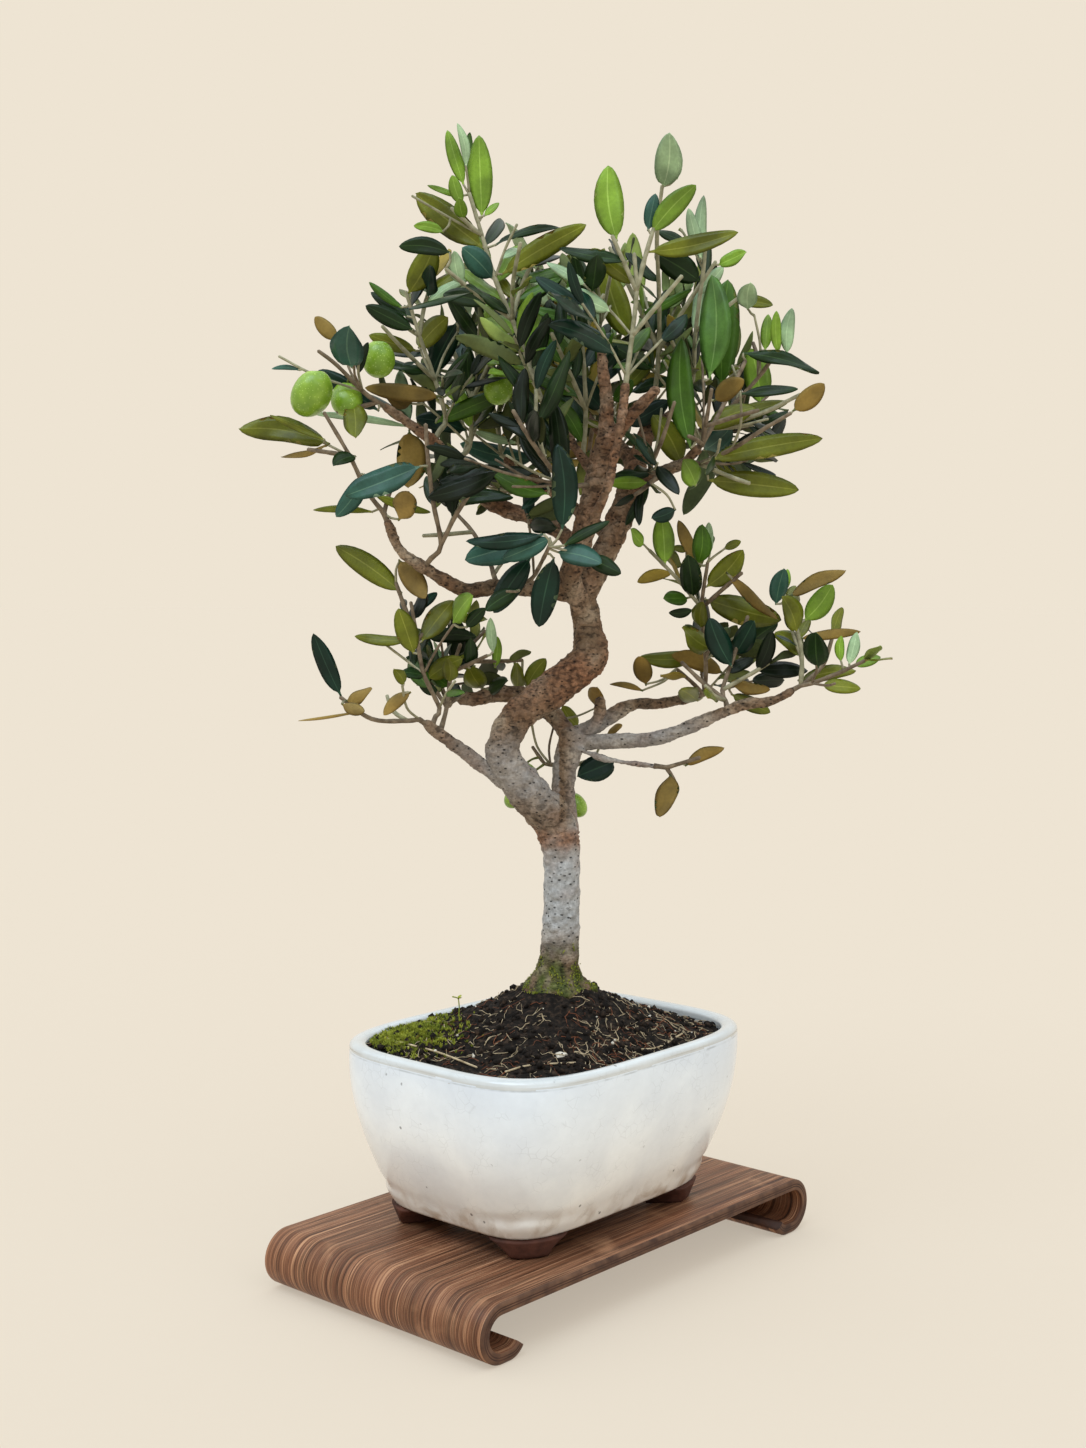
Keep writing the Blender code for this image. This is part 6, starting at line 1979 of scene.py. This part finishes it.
def bark_finish():
    """Bark: grey and speckled, brown at the collar and the rough stretch, mossy green at the foot, with
    painted shade in the hollows of its wrinkles and fine relief.
    """
    made = Finish("olive_bark", 0.82, 0.25)
    broad = made.cloud(70.0, 5.0, 0.6)
    fine = made.cloud(420.0, 5.0)
    base = made.ramp(broad, (0.3, 0.5, 0.7), BARK_BROWN)
    grey = made.ramp(fine, (0.3, 0.7), BARK_GREY)
    brown = made.ramp(fine, (0.32, 0.68), BARK_RUST)
    green = made.ramp(made.cloud(260.0, 5.0, 0.4), (0.3, 0.55, 0.75), BARK_MOSS)
    tint = made.mix(made.zone("Blue"), base, grey)
    tint = made.mix(made.zone("Red"), tint, brown)
    tint = made.mix(made.zone("Green"), tint, green)
    dots = made.cells(310.0, place=made.stretched((1.0, 1.0, 1.6)))
    spots = made.ramp(dots, (0.0, 0.18, 0.26), (0.0, 0.1, 1.0))
    some = made.ramp(made.cloud(110.0, 2.0), (0.4, 0.5), (0.0, 0.95))
    tint = made.mix(some, tint, made.mix(0.9, tint, spots, "MULTIPLY"))
    wrinkles = made.cloud(240.0, 5.0, 0.7, made.stretched((1.1, 1.1, 2.0)))
    # Painted shade: colour darkened in the wrinkles' hollows, on the same noise as their relief.
    painted_crease_shade = made.ramp(wrinkles, (0.38, 0.47, 0.6), (0.22, 0.85, 1.0))
    # Painted shade: colour darkened in the hollows of the fine relief, on the same noise as its bump.
    painted_hollow_shade = made.ramp(made.cloud(380.0, 6.0, 0.3), (0.36, 0.5), (0.4, 1.0))
    rough = made.ramp(made.zone("Blue"), (0.0, 0.85), (0.75, 0.06))
    tint = made.mix(rough, tint, made.mix(1.0, tint, painted_crease_shade, "MULTIPLY"))
    tint = made.mix(rough, tint, made.mix(0.8, tint, painted_hollow_shade, "MULTIPLY"))
    grime = made.ramp(made.cloud(900.0, 4.0), (0.36, 0.6), (0.5, 1.0))
    tint = made.mix(0.4, tint, grime, "MULTIPLY")
    made.colour(tint)
    calm = made.ramp(made.zone("Blue"), (0.0, 1.0), (0.0, 0.75))
    made.raise_by(made.mix(calm, made.cloud(380.0, 6.0, 0.3), CALM_GREY), 1.0, 1.0)
    made.raise_by(made.mix(calm, wrinkles, CALM_GREY), 1.3, 1.0)
    made.raise_by(spots, 0.25, 0.7)
    return made.material


def twig_finish(name):
    """Twig bark: smooth, with pale flecks."""
    made = Finish(name, 0.7, 0.3)
    tint = made.ramp(made.cloud(240.0, 4.0, 0.4), (0.3, 0.7), TWIG_TONES[name])
    flecks = made.ramp(made.cells(900.0), (0.1, 0.2), (1.0, 0.75))
    made.colour(made.mix(0.5, tint, flecks, "MULTIPLY"))
    made.raise_by(made.cloud(700.0, 4.0), 0.25, 0.8)
    return made.material


def olive_finish():
    """Unripe olives: bright green with small pale specks and a waxy skin."""
    made = Finish("olive_skin", 0.27, 0.5)
    tint = made.ramp(made.cloud(130.0, 2.0), (0.3, 0.7), OLIVE_TONES)
    specks = made.ramp(made.cells(850.0), (0.0, 0.16, 0.24), OLIVE_SPECKS)
    made.colour(made.mix(0.35, tint, specks, "ADD"))
    made.raise_by(made.cloud(500.0, 2.0), 0.1, 0.4)
    return made.material


def earth_finish():
    """Soil: almost black, with brown crumbs."""
    made = Finish("dark_soil", 0.92, 0.18)
    tint = made.ramp(made.cloud(420.0, 6.0), (0.3, 0.52, 0.75), SOIL_TONES)
    bits = made.ramp(made.cloud(90.0, 3.0), (0.35, 0.65), (0.55, 1.0))
    made.colour(made.mix(0.7, tint, bits, "MULTIPLY"))
    made.raise_by(made.cloud(620.0, 6.0), 1.0, 1.0)
    return made.material


def mottled(name):
    """A plain stuff that varies between two colours, with a relief of its own."""
    dark, light, scale, roughness, depth = STUFFS[name]
    made = Finish(name, roughness, 0.3)
    made.colour(made.ramp(made.cloud(scale, 5.0, 0.2), (0.3, 0.7), (dark, light)))
    made.raise_by(made.cloud(scale * 2.5, 4.0), depth, 0.8)
    return made.material


def glaze_finish(name):
    """Off-white glaze: mottled, warmer below with painted bounce light, a painted bluish sky reflection near
    the top, a painted shade line under the rim, tiny dark specks, faint crazing and a clear coat.
    """
    dark, light, base, roughness = GLAZES[name]
    made = Finish(name, roughness, 0.5)
    made.shader.inputs["Coat Weight"].default_value = 0.6
    made.shader.inputs["Coat Roughness"].default_value = 0.14
    tint = made.ramp(made.cloud(34.0, 4.0, 0.5), (0.3, 0.7), (dark, light))
    fine = made.ramp(made.cloud(300.0, 3.0), (0.35, 0.65), (0.97, 1.0))
    tint = made.mix(0.8, tint, fine, "MULTIPLY")
    # Painted light: a warm bounce tint towards the base and a bluish sky reflection towards the rim.
    painted_bounce_and_sky = made.ramp(made.height(POT_BASE_Z, RIM_Z), (0.05, 0.6, 0.97), (base, 1.0, PAINTED_SKY_TINT))
    tint = made.mix(1.0, tint, painted_bounce_and_sky, "MULTIPLY")
    # Painted shade: a darker band just under the rim's lip, broken up by noise.
    line = made.ramp(made.height(RIM_Z - 8, RIM_Z), (0.36, 0.44, 0.52), (1.0, 0.62, 1.0))
    tint = made.mix(made.ramp(made.cloud(110.0, 4.0), (0.4, 0.6), (0.2, 0.95)), tint,
                    made.mix(1.0, tint, line, "MULTIPLY"))
    stain = made.ramp(made.height(POT_BASE_Z, RIM_Z), (0.06, 0.2), (1.0, 0.0))
    blotch = made.ramp(made.cloud(90.0, 5.0, 0.5), (0.45, 0.7), (0.0, 0.8))
    tint = made.mix(made.mix(1.0, stain, blotch, "MULTIPLY"), tint, GLAZE_STAIN)
    specks = made.ramp(made.cells(150.0), (0.0, 0.09, 0.14), (0.1, 0.2, 1.0))
    rare = made.ramp(made.cloud(70.0, 1.0), (0.57, 0.61), (0.0, 1.0))
    tint = made.mix(rare, tint, made.mix(0.8, tint, specks, "MULTIPLY"))
    crack = made.ramp(made.cells(230.0, "DISTANCE_TO_EDGE"), (0.0, 0.05), (0.66, 1.0))
    worn = made.ramp(made.cloud(90.0, 4.0), (0.5, 0.6), (0.0, 1.0))
    made.colour(made.mix(worn, tint, made.mix(0.35, tint, crack, "MULTIPLY")))
    made.raise_by(made.cloud(45.0, 3.0), 0.5, 0.5)
    made.raise_by(made.cloud(420.0, 2.0), 0.08, 0.4)
    return made.material


def wood_finish():
    """Walnut: streaks that run round the sheet's bends, with fine pores."""
    made = Finish("walnut", 0.48, 0.18)
    made.shader.inputs["Coat Weight"].default_value = 0.06
    made.shader.inputs["Coat Roughness"].default_value = 0.3
    streaks = made.cloud(120.0, 8.0, 1.4, made.stretched((0.05, 4.2, 0.05)), 0.75)
    fine = made.cloud(420.0, 5.0, 0.6, made.stretched((0.05, 2.2, 0.05)))
    broad = made.ramp(made.cloud(24.0, 3.0, 0.5, made.stretched((0.3, 1.6, 0.3))), (0.35, 0.62), (0.72, 1.0))
    tint = made.ramp(streaks, (0.33, 0.5, 0.68), WALNUT_TONES)
    tint = made.mix(0.8, tint, broad, "MULTIPLY")
    lines = made.ramp(fine, (0.38, 0.52), (0.25, 1.0))
    tint = made.mix(0.7, tint, lines, "MULTIPLY")
    scuffs = made.ramp(made.cloud(38.0, 5.0, 0.4), (0.58, 0.74), (0.0, 0.35))
    made.colour(made.mix(scuffs, tint, WALNUT_TONES[-1]))
    made.raise_by(fine, 0.3, 0.9)
    return made.material


# The light: the world's colour, and suns (azimuth from the camera's right, elevation, strength, width).
AIR = (238, 228, 211)
SUNS = (
    ("key_sun", -125.0, 58.0, 1.35, 40.0, (0.66, 0.83, 1.0)),
    ("fill_sun", -50.0, 50.0, 0.85, 60.0, (0.62, 0.82, 1.0)),
    ("left_sun", 170.0, 50.0, 0.6, 60.0, (0.62, 0.82, 1.0)),
    ("back_sun", 60.0, 60.0, 0.6, 60.0, (0.62, 0.82, 1.0)),
)
FLOOR_REACH = 40.0
FLOOR_GLOW = 0.5


def light_scene():
    """An even sky, three wide suns and a floor that is as bright as the sky behind it."""
    scene = bpy.context.scene
    scene.view_settings.view_transform = "Standard"
    world = bpy.data.worlds.new("studio_air")
    world.use_nodes = True
    world.node_tree.nodes["Background"].inputs["Color"].default_value = plain(AIR)
    scene.world = world
    lit = np.array(plain(AIR)[:3])
    for name, azimuth, height, strength, width, tint in SUNS:
        light = bpy.data.lights.new(name, "SUN")
        light.energy = strength
        light.angle = math.radians(width)
        light.color = tint
        lamp = bpy.data.objects.new(name, light)
        turn = math.radians(TREE_TURN + azimuth)
        rise = math.radians(height)
        flat = math.cos(rise)
        towards = Vector((math.cos(turn) * flat, math.sin(turn) * flat, math.sin(rise)))
        lamp.rotation_euler = towards.to_track_quat("Z", "Y").to_euler()
        scene.collection.objects.link(lamp)
        lit = lit + np.array(tint) * strength * math.sin(rise) / math.pi
    albedo = (1 - FLOOR_GLOW) * np.array(plain(AIR)[:3]) / lit
    mesh = bpy.data.meshes.new("studio_floor")
    shape = bmesh.new()
    bmesh.ops.create_circle(shape, cap_ends=True, segments=64, radius=FLOOR_REACH)
    shape.to_mesh(mesh)
    shape.free()
    floor = bpy.data.objects.new("studio_floor", mesh)
    scene.collection.objects.link(floor)
    floor.location.z = -0.0004
    made = Finish("floor_paint", 1.0, 0.0)
    grain = made.ramp(made.cloud(60.0, 2.0), (0.0, 1.0), (0.0, 1.0))
    low = tuple(albedo * 0.994) + (1.0,)
    high = tuple(albedo * 1.006) + (1.0,)
    node = made.nodes.new("ShaderNodeMix")
    node.data_type = "RGBA"
    node.inputs["A"].default_value = low
    node.inputs["B"].default_value = high
    made.links.new(grain, node.inputs["Factor"])
    made.colour(node.outputs["Result"])
    made.shader.inputs["Emission Color"].default_value = plain(AIR)
    made.shader.inputs["Emission Strength"].default_value = FLOOR_GLOW
    mesh.materials.append(made.material)


def place_camera():
    """The photo's camera."""
    lens = bpy.data.cameras.new("photo_camera")
    lens.sensor_width = SENSOR
    lens.lens = FOCAL_PX * SENSOR / PHOTO_SIZE[1]
    lens.clip_start = 0.01
    lens.clip_end = 200.0
    camera = bpy.data.objects.new("photo_camera", lens)
    camera.location = row_of([CAMERA_AT], False)[0]
    camera.rotation_euler = (math.radians(90 - CAMERA_DOWN), 0, math.radians(TREE_TURN))
    bpy.context.scene.collection.objects.link(camera)
    bpy.context.scene.camera = camera


def corner_mean(name, axis):
    """The middle of a CAD node's box along an axis, in millimetres."""
    low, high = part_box(name)
    return (low[axis] + high[axis]) / 2 / MM


STAND_X = corner_mean("stand", 0)
STAND_Y = corner_mean("stand", 1)
TURN = math.radians(TREE_TURN)
ACROSS = CAMERA_AT[0] - TREE_FOOT[0], CAMERA_AT[1] - TREE_FOOT[1]
EYE = np.array((ACROSS[0] * math.cos(TURN) + ACROSS[1] * math.sin(TURN),
                ACROSS[1] * math.cos(TURN) - ACROSS[0] * math.sin(TURN), CAMERA_AT[2]))


MOUND = mound_grid()

twigs, main_twigs = grow_twigs()
kept = Kept()
grown = grow_seen_leaves(twigs, Lines([bough_line(name) for name in LIMBS]), kept)
keep_open(twigs, kept)
grown += grow_rule_leaves(twigs, kept)
twigs = leafy_twigs(twigs, main_twigs, grown)

make_foliage(twigs, grown, leaf_finishes())
make_twigs(twigs, grown, [twig_finish("young_twig"), twig_finish("old_twig")])
make_olives(twigs, olive_finish(), twig_finish("fruit_stalk"))
make_bark(bark_finish())
make_soil(earth_finish(), mottled("white_grit"), [mottled("pale_root"), mottled("red_root")],
          mottled("moss_green"))
make_pot(glaze_finish("pot_glaze"), glaze_finish("rim_glaze"), mottled("bare_clay"))
make_feet(mottled("red_clay"))
make_stand(wood_finish(), mottled("ply_light"), mottled("ply_dark"))
light_scene()
place_camera()
